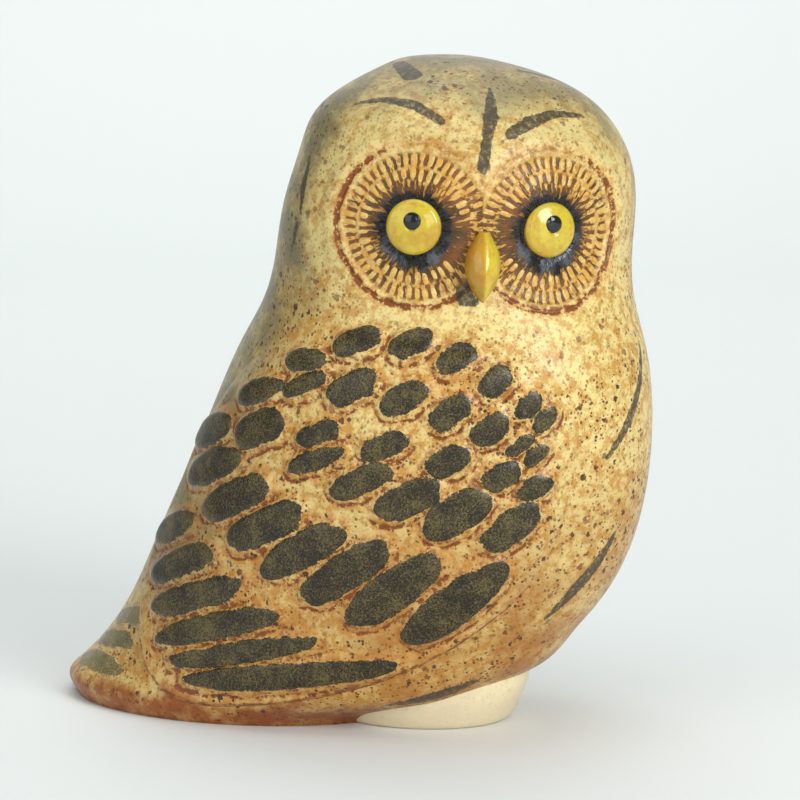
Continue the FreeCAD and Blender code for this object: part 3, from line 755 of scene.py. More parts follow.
def foot():
    """The stub under the breast, ring by ring from the ground up."""
    rings = [FOOT_MIDDLE + (FOOT_HALF - inset) * circle(FOOT_COLUMNS) + (0, 0, level)
             for level, inset in FOOT_RINGS]
    points = np.concatenate(rings + [[FOOT_MIDDLE, FOOT_MIDDLE + (0, 0, FOOT_RINGS[-1][0])]])
    faces = oriented(points, tube_faces(len(rings), FOOT_COLUMNS))
    make_piece("foot_stub", points, faces, "foot_glaze", "foot", paint(points))


beak()
foot()

# ---------------------------------------------------------------- wings and feathers

TRACTS = ["scapulars", "lesser_coverts", "median_coverts", "greater_coverts", "secondaries",
          "primaries"]
WING_STEP = 0.56
WING_KNOT_STEP = 3.0
WING_THICKNESS = 2.6
OUTLINE_COUNT = 260
SLIP_SPREAD = 0.5               # the slip is brushed this far past each raised feather
BLUNTNESS = 2.3                 # 2 would make true ellipses; more makes blunter ends


class Oval(Axes):
    """One feather of a CAD tract: its long, wide and outward axes, half length and width."""

    def __init__(self, corners):
        middle = corners.mean(axis=0)
        axes = np.linalg.svd(corners - middle, full_matrices=False)[2]
        for axis, lead in zip(axes, (axes[0, 0], axes[1, 2], axes[2, 1] * middle[1])):
            if lead < 0:
                axis *= -1
        super().__init__(middle, axes)
        flat = self.flat(corners)
        low, high = flat.min(axis=0), flat.max(axis=0)
        self.middle = self.place(*(low + high) / 2)
        self.half_length, self.half_width = (high - low)[:2] / 2 + SLIP_SPREAD

    def distance(self, flat):
        """About how far flat points lie outside the oval's edge."""
        a, b = self.half_length, self.half_width
        x, y = np.abs(flat[:, 0]) + 1e-6, np.abs(flat[:, 1]) + 1e-6
        share = ((x / a) ** BLUNTNESS + (y / b) ** BLUNTNESS) ** (1 / BLUNTNESS)
        slope = np.hypot((x / a) ** (BLUNTNESS - 1) / a, (y / b) ** (BLUNTNESS - 1) / b)
        return np.clip((share - 1) / (slope * share ** (1 - BLUNTNESS)), -b, FAR)

    def rim(self, way):
        """How far the oval's edge lies along and across, in each way round."""
        x, y, _ = np.sign(way.T) * np.abs(way.T) ** (2 / BLUNTNESS)
        return self.half_length * x, self.half_width * y


def flank_knots(side):
    """Knots of the bare flank over distance round the side and level."""
    alongs = np.arange(WING_BACK - 15, WING_BACK + WING_REACH + 16, WING_KNOT_STEP)
    levels = np.arange(WING_FOOT - 6, WING_FOOT + WING_HEIGHT + 13, WING_KNOT_STEP)
    bearings = np.radians(np.linspace(-178, 178, 713))
    knots = []
    for level in levels:
        ahead, reach, breadth = (np.interp(level, [row[0] for row in FLANK],
                                           [row[k] for row in FLANK]) for k in (1, 2, 3))
        pace = np.hypot(reach * np.cos(bearings), breadth * np.sin(bearings))
        run = np.cumsum(pace) * (bearings[1] - bearings[0])
        run = run - np.interp(0, bearings, run)
        turned = np.interp(alongs - ahead, run, bearings)
        start = np.stack([ahead + reach * np.sin(turned), side * breadth * np.cos(turned),
                          0 * turned + level], -1)
        out = unit(np.stack([np.sin(turned) / reach, side * np.cos(turned) / breadth,
                             0 * turned], -1))
        knots.append(cast_rays(body_tree, start + out * 40, -out))
    return alongs, levels, fill_gaps(np.array(knots), False)


def nearest_feathers(points, ovals):
    """Distances to the nearest and next feather, and how far below the nearest one it is."""
    first, second = np.full((2, len(points)), FAR)
    lower = np.zeros(len(points))
    for oval in ovals:
        near = np.linalg.norm(points - oval.middle, axis=1) < oval.half_length + 9
        flat = oval.flat(points[near])
        away = oval.distance(flat)
        under = -0.8 * flat[:, 1] / oval.half_width - 0.35 * flat[:, 0] / oval.half_length
        closer = away < first[near]
        second[near] = np.where(closer, first[near], np.minimum(second[near], away))
        lower[near] = np.where(closer, under, lower[near])
        first[near] = np.where(closer, away, first[near])
    return first, second, lower


def wing(name, side):
    """The wing's clay: raised, soft at the shoulder and pressed in between the feathers."""
    alongs, levels, knots = flank_knots(side)
    fine_alongs = np.arange(WING_BACK - 4, WING_BACK + WING_REACH + 6, WING_STEP)
    fine_levels = np.arange(WING_FOOT - 4.5, WING_FOOT + WING_HEIGHT + 3, WING_STEP)
    ground = spline_surface(knots, (fine_levels - levels[0]) / WING_KNOT_STEP,
                            (fine_alongs - alongs[0]) / WING_KNOT_STEP)
    normals = facing(grid_normals(ground), (0, side, 0))
    place = np.stack(np.meshgrid(fine_alongs, fine_levels), -1)
    outline = closed_curve([(WING_BACK + a * WING_REACH, WING_FOOT + b * WING_HEIGHT)
                            for a, b in WING_EDGE], OUTLINE_COUNT)
    inside = inside_distance(place.reshape(-1, 2), outline).reshape(place.shape[:2])
    ovals = [Oval(island) for tract in TRACTS for island in islands(f"{name}_{tract}")]
    first, second, lower = (values.reshape(inside.shape)
                            for values in nearest_feathers(ground.reshape(-1, 3), ovals))
    shoulder = ramp(place[..., 1], WING_FOOT + 0.55 * WING_HEIGHT, WING_FOOT + WING_HEIGHT)
    front = ramp(place[..., 0], WING_BACK + 0.72 * WING_REACH, WING_BACK + WING_REACH)
    softness = 1.6 + 7.5 * np.maximum(shoulder, 0.8 * front)
    on_wing = ramp(inside, 0, 3)
    wobble = ripple(ground, 9, 31)
    valley = np.exp(-((second - first) / 1.1) ** 2) * ramp(first, 4.0, 1.0) * on_wing
    arc = np.exp(-((first - 1.7 - 0.5 * wobble) / 0.42) ** 2) * ramp(lower, 0.05, 0.85)
    arc = arc * on_wing
    foot_line = np.exp(-((inside - 0.4) / 1.2) ** 2) * (1 - 0.9 * shoulder) * (1 - 0.6 * front)
    height = WING_RISE * ramp(inside, -0.8, softness) + 0.95 * ramp(first, 2.3, -1.8) * on_wing
    height = height - 0.30 * valley - 0.42 * arc - 0.45 * foot_line - setback(ground)
    level = ground + normals * height[..., None]
    lap = 0.02 - 0.5 * ramp(inside, -0.3, -1.3)
    rust = np.clip(1.5 * arc + 0.65 * valley * (0.7 + 0.3 * wobble) + 1.6 * foot_line
                   + 0.58 * ramp(first, 3.2, 0.0) * on_wing, 0, 1.8)
    return make_sheet(f"{name}_wing_relief", level + normals * lap[..., None],
                      ground - normals * WING_THICKNESS, inside > -1.3, "clay_glaze",
                      f"{name}_wing",
                      {"rust": rust, "stroke": np.full(rust.shape, NO_STROKE)},
                      facing(grid_normals(level), (0, side, 0)))


OVAL_RING_STEP, OVAL_SEGMENTS = 1.25, 60
SLIP_SINK = 0.7                 # each pad of slip reaches this far into the clay
PAD_CLEAR = 25.0                # rays at the ground under a pad start this far out
PAD_SEED = 40


def oval_pad(oval, ground, thickness, seed):
    """A thin oval of slip laid on the ground under it, feathered out at its rim."""
    rng = np.random.default_rng(seed)
    way = circle(OVAL_SEGMENTS)
    angles = np.arange(OVAL_SEGMENTS) * (2 * math.pi / OVAL_SEGMENTS)
    bumps = sum(rng.uniform(-0.034, 0.034) * np.cos(k * angles + rng.uniform(0, 6.28))
                for k in range(2, 7))
    ring_count = max(6, round(oval.half_length / OVAL_RING_STEP))
    shares = np.array([*np.linspace(0, 0.95, ring_count), 0.98, 1.015, 1.05])
    along, across = oval.rim(way)
    tops, depths = [], []
    for share in shares:
        reach = share * (1 + bumps)
        starts = oval.place(reach * along, reach * across, PAD_CLEAR)
        landed = cast_rays(ground, starts, np.tile(-oval.out, (OVAL_SEGMENTS, 1)))
        lost = np.isnan(landed[:, 0])
        landed[lost] = (starts - oval.out * (PAD_CLEAR + 1))[lost]
        tops.append(landed)
        depths.append(-oval.distance(np.stack([share * along, share * across], -1)))
    tops = np.array(tops)
    lift = thickness * ramp(shares, 1.01, 0.86) - 0.35 * ramp(shares, 0.99, 1.05)
    rings = tops + lift[:, None, None] * oval.out
    under = tops - oval.out * SLIP_SINK
    points = np.concatenate([*rings[1:], under[-1],
                             [rings[0].mean(axis=0), under[0].mean(axis=0)]])
    depth = np.concatenate([*depths[1:], depths[-1], [oval.half_width, -1.0]])
    return points, oriented(points, tube_faces(len(shares), OVAL_SEGMENTS)), depth


def feather_tract(name, node, ground, slot, thickness=0.24):
    """The slip on every feather of one CAD node as one piece."""
    points, faces, depths, start = [], [], [], 0
    for k, island in enumerate(sorted(islands(node), key=lambda part: part[:, 0].mean())):
        pad, pad_faces, depth = oval_pad(Oval(island), ground, thickness, PAD_SEED + k)
        points.append(pad)
        depths.append(depth)
        faces += [tuple(v + start for v in face) for face in pad_faces]
        start += len(pad)
    points = np.concatenate(points)
    marks = {**paint(points), "stroke": np.full(len(points), NO_STROKE),
             "depth": np.concatenate(depths), "rust": np.full(len(points), 0.3)}
    make_piece(name, points, faces, slot, node, marks)


for side_name, side in (("right", -1), ("left", 1)):
    wing_surface = wing(side_name, side)
    for tract in TRACTS:
        feather_tract(f"{side_name}_{tract}_slip", f"{side_name}_{tract}", wing_surface,
                      "dark_slip")
    feather_tract(f"{side_name}_tail_wash", f"{side_name}_tail_feathers", skin_surface,
                  "green_wash", 0.3)

# ---------------------------------------------------------------- nodes


class Value:
    """A number between nodes; sums with it are written as sums and become nodes."""

    def __init__(self, nodes, socket):
        self.nodes, self.socket = nodes, socket

    def maths(self, operation, other=0.0):
        return self.nodes.value("ShaderNodeMath", {0: self, 1: other}, operation=operation)

    def __add__(self, other):
        return self.maths("ADD", other)

    def __sub__(self, other):
        return self.maths("SUBTRACT", other)

    def __mul__(self, other):
        return self.maths("MULTIPLY", other)

    def clamped(self):
        self.socket.node.use_clamp = True
        return self

    def fit(self, low, high, to_low=0.0, to_high=1.0, kind="SMOOTHSTEP"):
        """Goes smoothly from to_low to to_high as the value goes from low to high."""
        return self.nodes.value("ShaderNodeMapRange", {0: self, 1: low, 2: high, 3: to_low,
                                                       4: to_high}, interpolation_type=kind)

    def line(self, low, high, to_low, to_high):
        return self.fit(low, high, to_low, to_high, "LINEAR")


class Nodes:
    """Adds nodes to a tree and links their inputs as they are made."""

    def __init__(self, tree, material=None):
        self.tree, self.material = tree, material

    def add(self, kind, inputs, **settings):
        node = self.tree.nodes.new(kind)
        for key, value in settings.items():
            setattr(node, key, value)
        for key, value in inputs.items():
            value = getattr(value, "socket", value)
            if isinstance(value, bpy.types.NodeSocket):
                self.tree.links.new(value, node.inputs[key])
            else:
                node.inputs[key].default_value = value
        return node

    def value(self, kind, inputs, output=0, **settings):
        return Value(self, self.add(kind, inputs, **settings).outputs[output])

    def group(self, tree):
        group = self.add("ShaderNodeGroup", {}, node_tree=tree)
        return [Value(self, socket) for socket in group.outputs]

    def mix(self, factor, first, second):
        return self.value("ShaderNodeMix", {0: factor, 6: first, 7: second}, 2,
                          data_type="RGBA")

    def mark(self, name, output="Fac"):
        return self.value("ShaderNodeAttribute", {}, output, attribute_name=name)

    def place(self):
        return self.value("ShaderNodeTexCoord", {}, "Object")

    def parts(self, vector):
        """The x, y and z of a vector."""
        node = self.add("ShaderNodeSeparateXYZ", {0: vector})
        return [Value(self, socket) for socket in node.outputs]

    def noise(self, scale, detail=2.0, roughness=0.5, vector=None, output="Fac"):
        return self.value("ShaderNodeTexNoise",
                          {"Vector": vector or self.place(), "Scale": scale,
                           "Detail": detail, "Roughness": roughness}, output)

    def vector_maths(self, operation, first, second):
        key = 3 if operation == "SCALE" else 1
        return self.value("ShaderNodeVectorMath", {0: first, key: second},
                          operation=operation)


def new_group(name, kind, outputs, inputs=()):
    """The nodes of a new group whose sockets are given as label and kind."""
    tree = bpy.data.node_groups.new(name, kind)
    for way, sockets in (("INPUT", inputs), ("OUTPUT", outputs)):
        for label, socket in sockets:
            tree.interface.new_socket(label, in_out=way, socket_type="NodeSocket" + socket)
    return Nodes(tree)


# ---------------------------------------------------------------- glazes


def colour(red, green, blue):
    """An sRGB colour as scene-linear RGBA."""
    def linear(v):
        return v / 12.92 if v <= 0.04045 else ((v + 0.055) / 1.055) ** 2.4
    return (linear(red), linear(green), linear(blue), 1.0)


CREAM = colour(0.88, 0.795, 0.52)
HONEY = colour(0.75, 0.56, 0.26)
TAN = colour(0.62, 0.38, 0.13)
ORANGE = colour(0.76, 0.49, 0.17)
CINNAMON = colour(0.56, 0.29, 0.08)
RUST = colour(0.50, 0.26, 0.06)
BROWN = colour(0.23, 0.13, 0.065)
INK = colour(0.20, 0.17, 0.13)
GREY_GREEN = colour(0.46, 0.42, 0.28)
SLIP = colour(0.12, 0.10, 0.058)
SLIP_FLECK = colour(0.44, 0.38, 0.21)
BLACK = colour(0.08, 0.065, 0.06)
# Blue-grey of the painted glint, a reflection painted into the black ring round the eyes.
PAINTED_GLINT_GREY = colour(0.34, 0.35, 0.37)
YELLOW = colour(0.79, 0.70, 0.19)
AMBER = colour(0.70, 0.48, 0.10)
PALE = colour(0.98, 0.94, 0.80)
BARE_CLAY = colour(0.72, 0.60, 0.47)

DISC_GOLD = colour(0.79, 0.56, 0.20)
RIDGE_GOLD = colour(0.82, 0.62, 0.26)
WASH = colour(0.33, 0.32, 0.22)
WASH_FLECK = colour(0.62, 0.54, 0.34)
BEAD = colour(0.05, 0.05, 0.05)

GLAZE_ROUGHNESS, COAT_ROUGHNESS, SPECULAR = 0.34, 0.12, 0.42
CLAY_BUMP = 0.00025

# Rings of pressed ridges in each disc: how many, distance from the eye, half length.
HATCH_RINGS = [(38, 15.2, 1.9), (50, 19.6, 2.1)]


def speck_layer(nodes, scale, share, size, ragged):
    """Iron specks of one size: a mask, and a random tone for each speck."""
    place = nodes.place()
    jitter = nodes.noise(scale * 2.2, vector=place, output="Color")
    jitter = nodes.vector_maths("SUBTRACT", jitter, (0.5, 0.5, 0.5))
    jitter = nodes.vector_maths("SCALE", jitter, ragged / scale)
    moved = nodes.vector_maths("ADD", place, jitter)
    cells = nodes.add("ShaderNodeTexVoronoi", {"Vector": moved, "Scale": scale})
    tones = nodes.add("ShaderNodeSeparateColor", {0: cells.outputs["Color"]})
    limit = Value(nodes, tones.outputs[0]).line(1 - share, 1.0, 0.0, size)
    depth = limit - cells.outputs["Distance"]
    return depth.fit(0.0, 0.10), Value(nodes, tones.outputs[1])


def speck_group():
    """Fine and coarse specks together: where they are, their tones, and the coarse alone."""
    nodes = new_group("iron_specks", "ShaderNodeTree",
                      [("Specks", "Float"), ("Tone", "Float"), ("Coarse", "Float")])
    fine, fine_tone = speck_layer(nodes, 900, 0.76, 0.54, 0.6)
    coarse, coarse_tone = speck_layer(nodes, 400, 0.55, 0.46, 0.8)
    coarse = coarse * nodes.noise(52, 3.0).fit(0.38, 0.55, 0.35, 1.0)
    fine = fine * (nodes.noise(38).fit(0.36, 0.62) * 0.5 + 0.5)
    nodes.add("NodeGroupOutput", {0: fine.maths("MAXIMUM", coarse),
                                  1: coarse_tone * 0.5 + fine_tone * 0.5, 2: coarse})
    return nodes.tree


SPECKS = speck_group()


def clay_group():
    """Cream to tan glaze with specks, washes, brush strokes and rust from the painted marks."""
    nodes = new_group("clay_glaze_colours", "ShaderNodeTree",
                      [("Colour", "Color"), ("Relief", "Float"), ("Dry", "Float")])
    ahead, _, height = nodes.parts(nodes.place())
    face, wash, rust, bare = (nodes.mark(name) for name in ("face", "wash", "rust", "bare"))
    mottle = nodes.noise(330, 5.0, 0.68)
    grain = nodes.noise(1150, 2.0, 0.6)
    warm = mottle.fit(0.41, 0.63) + nodes.noise(26, 3.0, 0.55).fit(0.42, 0.68, 0.0, 0.45)
    base = nodes.mix((warm - face * 0.35).clamped(), CREAM, HONEY)
    low = height.fit(0.105, 0.012) * ahead.fit(0.01, 0.085, 0.42, 1.0)
    low = low * nodes.noise(70, 3.0).fit(0.34, 0.6, 0.4, 1.0)
    base = nodes.mix(low * 0.9, base, TAN)
    uneven = nodes.noise(90, 3.0).line(0.3, 0.7, -0.0045, 0.0045)
    band = (height + uneven).fit(0.0115, 0.006) * nodes.noise(150, 4.0, 0.65).fit(
        0.36, 0.58, 0.6, 1.0)
    base = nodes.mix(band, base, CINNAMON)
    base = nodes.mix(grain.fit(0.54, 0.72) * 0.55, base, TAN)
    wash = wash * nodes.noise(75, 4.0, 0.68).fit(0.32, 0.6, 0.45, 1.0)
    base = nodes.mix(wash * face.fit(0.25, 0.8, 1.0, 0.25), base, GREY_GREEN)
    rust = (rust * nodes.noise(430, 4.0, 0.72).fit(0.42, 0.58, 0.2, 1.35)).clamped()
    base = nodes.mix(rust, base, nodes.mix(rust.fit(0.3, 0.9), ORANGE, RUST))
    specks, tone, coarse = nodes.group(SPECKS)
    base = nodes.mix(specks * face.line(0.0, 1.0, 0.95, 0.5), base,
                     nodes.mix(tone.fit(0.55, 0.75), BROWN, RUST))
    stroke = nodes.mark("stroke") + nodes.noise(520, 3.0, 0.7).line(0.2, 0.8, -0.55, 0.55)
    thin = nodes.noise(700, 3.0, 0.7).fit(0.25, 0.55, 0.45, 0.92)
    base = nodes.mix(stroke.fit(-0.12, 0.25) * thin, base, INK)
    base = nodes.mix(bare, base, BARE_CLAY)
    relief = mottle * 0.35 + grain * 0.25 - coarse * 0.25
    nodes.add("NodeGroupOutput", {0: base, 1: relief, 2: bare})
    return nodes.tree


CLAY = clay_group()


def new_material(name):
    """The empty nodes of a new material."""
    material = bpy.data.materials.new(name)
    material.use_nodes = True
    material.node_tree.nodes.clear()
    return Nodes(material.node_tree, material)


def finish_material(nodes, base, roughness, relief=None, bump=0.0, coat=0.0):
    inputs = {"Base Color": base, "Roughness": roughness, "Coat Weight": coat,
              "Coat Roughness": COAT_ROUGHNESS, "Specular IOR Level": SPECULAR}
    if relief is not None:
        inputs["Normal"] = nodes.value("ShaderNodeBump", {"Height": relief, "Distance": bump,
                                                          "Strength": 1.0})
    glaze = nodes.value("ShaderNodeBsdfPrincipled", inputs)
    nodes.add("ShaderNodeOutputMaterial", {"Surface": glaze})
    return nodes.material


def clay_material():
    nodes = new_material("clay_glaze")
    base, relief, dry = nodes.group(CLAY)
    return finish_material(nodes, base, dry.line(0.0, 1.0, GLAZE_ROUGHNESS, 0.85), relief,
                           CLAY_BUMP)


def foot_material():
    nodes = new_material("foot_glaze")
    base, relief, _ = nodes.group(CLAY)
    return finish_material(nodes, nodes.mix(0.68, base, PALE), GLAZE_ROUGHNESS, relief,
                           CLAY_BUMP)


def slip_material(name, tone, fleck, cover):
    """Speckled slip whose ragged rim shows the clay glaze it lies on."""
    nodes = new_material(name)
    clay, relief, _ = nodes.group(CLAY)
    grit = nodes.noise(1800, 4.0, 0.8)
    flecks = (grit + nodes.noise(150, 3.0, 0.6).line(0.3, 0.7, -0.07, 0.07)).fit(0.44, 0.64)
    edge = nodes.mark("depth") + nodes.noise(1600, 3.0, 0.7).line(0.2, 0.8, -0.5, 0.5)
    edge = edge + nodes.noise(260, 3.0, 0.6).line(0.25, 0.75, -0.9, 0.6)
    base = nodes.mix(edge.fit(0.0, 0.25) * cover, clay, nodes.mix(flecks * 0.85, tone, fleck))
    return finish_material(nodes, base, 0.24, grit * 0.5 + relief, 0.00014)


def disc_material():
    """Cream disc with stain in its radial hatching, black glaze run round the eye and a painted
    blue-grey glint on the black.
    """
    nodes = new_material("disc_glaze")
    clay, relief, _ = nodes.group(CLAY)
    flow, reach, above = nodes.mark("flow", "Vector"), nodes.mark("reach"), nodes.mark("above")
    streaks = nodes.noise(1.0, 3.0, 0.55, flow)
    broad = nodes.noise(0.28, 2.0, 0.5, flow)
    ahead, aside, _ = nodes.parts(flow)
    bearing = aside.maths("ARCTAN2", ahead) + nodes.noise(330).line(0.2, 0.8, -0.03, 0.03)
    inside = reach.fit(22.2, 20.4)
    dark_share = reach.line(11.0, 19.0, 0.56, 0.30) + nodes.mark("inner") * 0.13
    stain = (dark_share - streaks).fit(-0.05, 0.05)
    for count, middle, half in HATCH_RINGS:
        gap = streaks.line(0.3, 0.7, -0.55, 0.75) - (bearing * float(count)).maths("COSINE")
        past_end = (reach - middle).maths("ABSOLUTE") + broad.line(0.3, 0.7, -0.5, 0.9)
        stroke = gap.fit(0.1, 0.6) * past_end.fit(half + 0.3, half - 0.5)
        stain = stain.maths("MAXIMUM", stroke)
    stain = stain * inside
    base = nodes.mix(reach.line(23.5, 11.0, 0.25, 0.8) * inside, clay, DISC_GOLD)
    stain_colour = nodes.mix(nodes.noise(210, 3.0).fit(0.4, 0.62, 0.0, 0.8), BROWN, RUST)
    base = nodes.mix(stain * 0.9, base, stain_colour)
    ragged = reach + streaks.line(0.2, 0.8, -1.5, 1.5) + broad.line(0.25, 0.75, -1.2, 1.2)
    ragged = ragged + above * 1.1
    ring = ragged.fit(12.0, 10.8)
    base = nodes.mix(ragged.fit(15.0, 11.5, 0.0, 0.6), base, BROWN)
    # Painted glint: a blue-grey reflection painted into the black ring, strongest on its lower
    # side.
    glint = nodes.noise(170, 3.0).fit(0.42, 0.62) * above.fit(0.3, -0.6, 0.1, 0.9)
    base = nodes.mix(ring, base, nodes.mix(glint, BLACK, PAINTED_GLINT_GREY))
    return finish_material(nodes, base, ring.line(0.0, 1.0, GLAZE_ROUGHNESS, 0.2),
                           relief - stain * 1.6, 0.0003)


def ridge_material():
    """The raised hatching: pale glaze that has run thin over the ridges."""
    nodes = new_material("disc_ridge_glaze")
    clay, relief, _ = nodes.group(CLAY)
    base = nodes.mix(nodes.noise(300, 3.0, 0.6).fit(0.35, 0.65, 0.15, 0.9), clay, RIDGE_GOLD)
    base = nodes.mix(nodes.noise(240, 4.0, 0.7).fit(0.54, 0.68, 0.0, 0.8), base, CINNAMON)
    return finish_material(nodes, base, GLAZE_ROUGHNESS, relief, 0.0002)


def yellow_material():
    nodes = new_material("yellow_glaze")
    drift = nodes.noise(190, 3.0, 0.6).fit(0.40, 0.75, 0.0, 0.7)
    # Amber where the glaze drifts at random, plus painted shade from the shade mark on the side
    # of the eyes and beak away from the window lamp.
    thin = (drift + nodes.mark("shade").fit(0.5, -0.9, 0.0, 0.75)).clamped()
    base = nodes.mix(thin, YELLOW, AMBER)
    base = nodes.mix(nodes.group(SPECKS)[0] * 0.25, base, TAN)
    return finish_material(nodes, base, 0.22, nodes.noise(400), 0.0002, 0.5)


def black_material():
    nodes = new_material("black_glaze")
    return finish_material(nodes, BEAD, 0.14, nodes.noise(600), 0.0001, 0.5)


GLAZES = {
    "clay_glaze": clay_material(),
    "foot_glaze": foot_material(),
    "dark_slip": slip_material("dark_slip", SLIP, SLIP_FLECK, 1.0),
    "green_wash": slip_material("green_wash", WASH, WASH_FLECK, 0.92),
    "disc_glaze": disc_material(),
    "yellow_glaze": yellow_material(),
    "black_glaze": black_material(),
}
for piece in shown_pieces():
    if "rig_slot" in piece:
        piece.data.materials.clear()
        piece.data.materials.append(GLAZES[piece["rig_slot"]])

# ---------------------------------------------------------------- pressed hatching

HATCH_HALF_WIDTH, HATCH_HEIGHT = 0.85, 0.26
HATCH_SEED = 7
RIDGE_RINGS, RIDGE_COLUMNS = 5, 12


def ridge_blank():
    """One ridge of unit size, long in X and standing up in Z, as a closed mesh."""
    way = circle(RIDGE_COLUMNS)
    blunt = np.sign(way) * np.abs(way) ** 0.7
    climbs = math.pi / 2 * (1 - np.arange(1, RIDGE_RINGS + 1) / RIDGE_RINGS)
    rings = [blunt * math.cos(climb) + (0, 0, math.sin(climb)) for climb in climbs]
    points = np.concatenate([*rings, blunt - (0, 0, 1), [(0, 0, 1), (0, 0, -1)]])
    mesh = bpy.data.meshes.new("ridge_blank")
    mesh.from_pydata(points.tolist(), [],
                     oriented(points, tube_faces(RIDGE_RINGS + 1, RIDGE_COLUMNS)),
                     shade_flat=False)
    return bpy.data.objects.new("ridge_blank", mesh)


def hatch_places(name):
    """Where the ridges of one disc stand, with the way each points and its size in metres."""
    seat = EYES[name]
    rng = np.random.default_rng(HATCH_SEED)
    places, marks = [], {"aim": [], "up": [], "size": []}
    for count, reach, half_length in HATCH_RINGS:
        for k in range(count):
            bearing = 2 * math.pi * (k + rng.uniform(-0.1, 0.1)) / count
            radius = reach + rng.uniform(-0.4, 0.4)
            size = np.array([half_length * rng.uniform(0.75, 1.1),
                             HATCH_HALF_WIDTH * rng.uniform(0.75, 1.1), HATCH_HEIGHT])
            way = np.array([math.cos(bearing), math.sin(bearing), 0]) @ seat.axes
            start = seat.middle + radius * way + 20 * seat.out
            point, normal, _, _ = disc_grounds[name].ray_cast(Vector(start), Vector(-seat.out))
            if point is None:
                continue
            aside = -seat.side * face_side_of(np.array(point))
            low = (np.array(point) - FACE_MIDDLE) @ FACE_UP
            if aside > -1.0 or (aside > -7.5 and low < 3):
                continue
            places.append(point * MM)
            for mark, value in zip(marks, (way, normal, size * MM)):
                marks[mark].append(value)
    return places, marks


def hatch_nodes():
    """Sets a ridge on every place, turned along its aim and sized by its own numbers."""
    nodes = new_group("hatch_ridges", "GeometryNodeTree", [("Ridges", "Geometry")],
                      [("Places", "Geometry"), ("Ridge", "Object"), ("Seed", "Int"),
                       ("Glaze", "Material")])

    def named(label):
        return nodes.value("GeometryNodeInputNamedAttribute", {"Name": label}, "Attribute",
                           data_type="FLOAT_VECTOR")

    given = nodes.add("NodeGroupInput", {}).outputs
    upright = nodes.value("FunctionNodeAlignRotationToVector", {"Vector": named("up")},
                          axis="Z")
    along = nodes.value("FunctionNodeAlignRotationToVector",
                        {"Rotation": upright, "Vector": named("aim")}, axis="X",
                        pivot_axis="Z")
    uneven = nodes.value("FunctionNodeRandomValue", {0: (0.9, 0.85, 0.7), 1: (1.1, 1.15, 1.1),
                                                     "Seed": given["Seed"]},
                         data_type="FLOAT_VECTOR")
    size = nodes.vector_maths("MULTIPLY", named("size"), uneven)
    ridge = nodes.value("GeometryNodeObjectInfo", {"Object": given["Ridge"]}, "Geometry")
    placed = nodes.value("GeometryNodeInstanceOnPoints",
                         {"Points": given["Places"], "Instance": ridge, "Rotation": along,
                          "Scale": size})
    solid = nodes.value("GeometryNodeRealizeInstances", {0: placed})
    glazed = nodes.value("GeometryNodeSetMaterial", {"Geometry": solid,
                                                     "Material": given["Glaze"]})
    nodes.add("NodeGroupOutput", {0: glazed})
    return nodes.tree


def hatching(name, tree, blank, glaze):
    """The raised ridges of one disc as one plain mesh."""
    places, marks = hatch_places(name)
    mesh = bpy.data.meshes.new("hatch_places")
    mesh.from_pydata(places, [], [])
    add_marks(mesh, marks)
    carrier = add_object("hatch_places", mesh)
    grower = carrier.modifiers.new("hatch", "NODES")
    grower.node_group = tree
    sockets = {item.name: item.identifier for item in tree.interface.items_tree
               if item.in_out == "INPUT"}
    for label, value in (("Ridge", blank), ("Seed", HATCH_SEED), ("Glaze", glaze)):
        grower[sockets[label]] = value
    depsgraph = bpy.context.evaluated_depsgraph_get()
    grown = bpy.data.meshes.new_from_object(carrier.evaluated_get(depsgraph))
    bpy.data.objects.remove(carrier)
    grown.name = f"{name}_disc_hatching"
    for spare in marks:
        if spare in grown.attributes:
            grown.attributes.remove(grown.attributes[spare])
    corners = np.empty(len(grown.vertices) * 3)
    grown.vertices.foreach_get("co", corners)
    add_marks(grown, {**paint(corners.reshape(-1, 3) / MM),
                      "rust": np.full(len(grown.vertices), 0.12)})
    add_piece(grown.name, grown, "disc_glaze")


blank, hatch_tree, ridge_glaze = ridge_blank(), hatch_nodes(), ridge_material()
for side_name in EYES:
    hatching(side_name, hatch_tree, blank, ridge_glaze)
bpy.data.objects.remove(blank)

# ---------------------------------------------------------------- studio

CAMERA_PLACE = Vector((0.4108, -1.0077, 0.2658))
CAMERA_AIM = Vector((0.03923, 0.01321, 0.09369))
CAMERA_LENS = 161.9
SWEEP_NEAR, SWEEP_BEND, SWEEP_RADIUS, SWEEP_TOP, SWEEP_HALF_WIDTH = -6.0, 1.1, 0.7, 5.0, 6.0
LAMP_AIM = (0.04, 0.0, 0.11)
COOL, WARM, WHITE = (0.97, 0.99, 1.0), (1.0, 0.98, 0.95), (1.0, 1.0, 1.0)

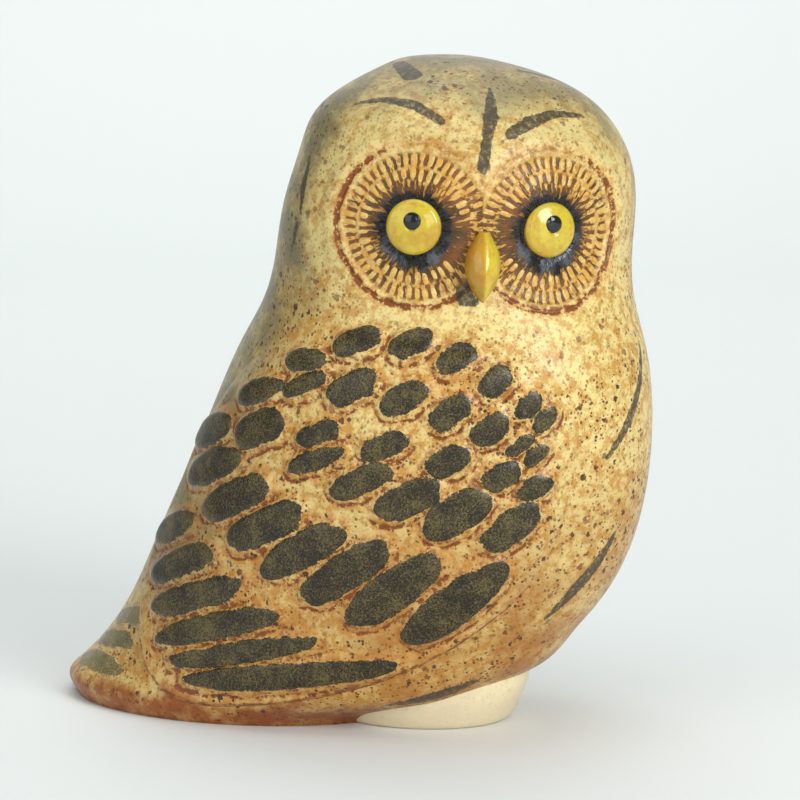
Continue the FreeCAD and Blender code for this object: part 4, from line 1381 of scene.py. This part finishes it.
# Each lamp: place, aim, width, height, power and tint.
LAMPS = {
    "window": ((1.15, -0.68, 0.62), LAMP_AIM, 0.55, 0.75, 13, COOL),
    "room_fill": ((-0.60, -1.25, 0.55), LAMP_AIM, 1.2, 1.0, 5.0, WARM),
    "pane": ((0.62, -1.22, 0.38), LAMP_AIM, 0.35, 0.45, 1.8, COOL),
    "top": ((0.05, -0.1, 1.4), LAMP_AIM, 1.2, 1.2, 6.0, WHITE),
    "wall_wash": ((-0.35, 0.75, 1.6), (-0.6, 1.8, 0.5), 1.6, 0.6, 15.0, (0.97, 1.0, 1.0)),
}


def sweep():
    """Pale paper that runs back under the owl and bends up into a plain wall behind it."""
    profile = [(SWEEP_NEAR, 0.0)]
    for bend in np.linspace(0, math.pi / 2, 25):
        profile.append((SWEEP_BEND + SWEEP_RADIUS * math.sin(bend),
                        SWEEP_RADIUS * (1 - math.cos(bend))))
    profile.append((SWEEP_BEND + SWEEP_RADIUS, SWEEP_TOP))
    away = (CAMERA_AIM - CAMERA_PLACE) * Vector((1, 1, 0))
    away.normalize()
    aside = Vector((away.y, -away.x, 0))
    points = [away * run + aside * half + Vector((0, 0, rise))
              for run, rise in profile for half in (-SWEEP_HALF_WIDTH, SWEEP_HALF_WIDTH)]
    faces = [(2 * k, 2 * k + 1, 2 * k + 3, 2 * k + 2) for k in range(len(profile) - 1)]
    mesh = bpy.data.meshes.new("paper_sweep")
    mesh.from_pydata(points, [], faces, shade_flat=False)
    mesh.materials.append(finish_material(new_material("pale_paper"),
                                          colour(0.90, 0.91, 0.905), 0.7))
    add_object("paper_sweep", mesh)


def aimed(name, data, place, aim):
    """A lamp or camera in its place, looking at its aim."""
    thing = add_object(name, data)
    thing.location = place
    thing.rotation_mode = "QUATERNION"
    thing.rotation_quaternion = (Vector(aim) - Vector(place)).to_track_quat("-Z", "Y")
    return thing


sweep()
camera_data = bpy.data.cameras.new("camera")
camera_data.lens = CAMERA_LENS
camera_data.sensor_width = 36.0
scene = bpy.context.scene
scene.camera = aimed("camera", camera_data, CAMERA_PLACE, CAMERA_AIM)
for name, (place, aim, width, height, power, tint) in LAMPS.items():
    lamp = bpy.data.lights.new(name, "AREA")
    lamp.shape = "RECTANGLE"
    lamp.size, lamp.size_y = width, height
    lamp.energy, lamp.color = power, tint
    aimed(name, lamp, place, aim)

scene.world = bpy.data.worlds.new("studio_air")
scene.world.use_nodes = True
air = scene.world.node_tree.nodes["Background"]
air.inputs[0].default_value = colour(0.93, 0.96, 0.96)
air.inputs[1].default_value = 0.37
scene.view_settings.view_transform = "Standard"
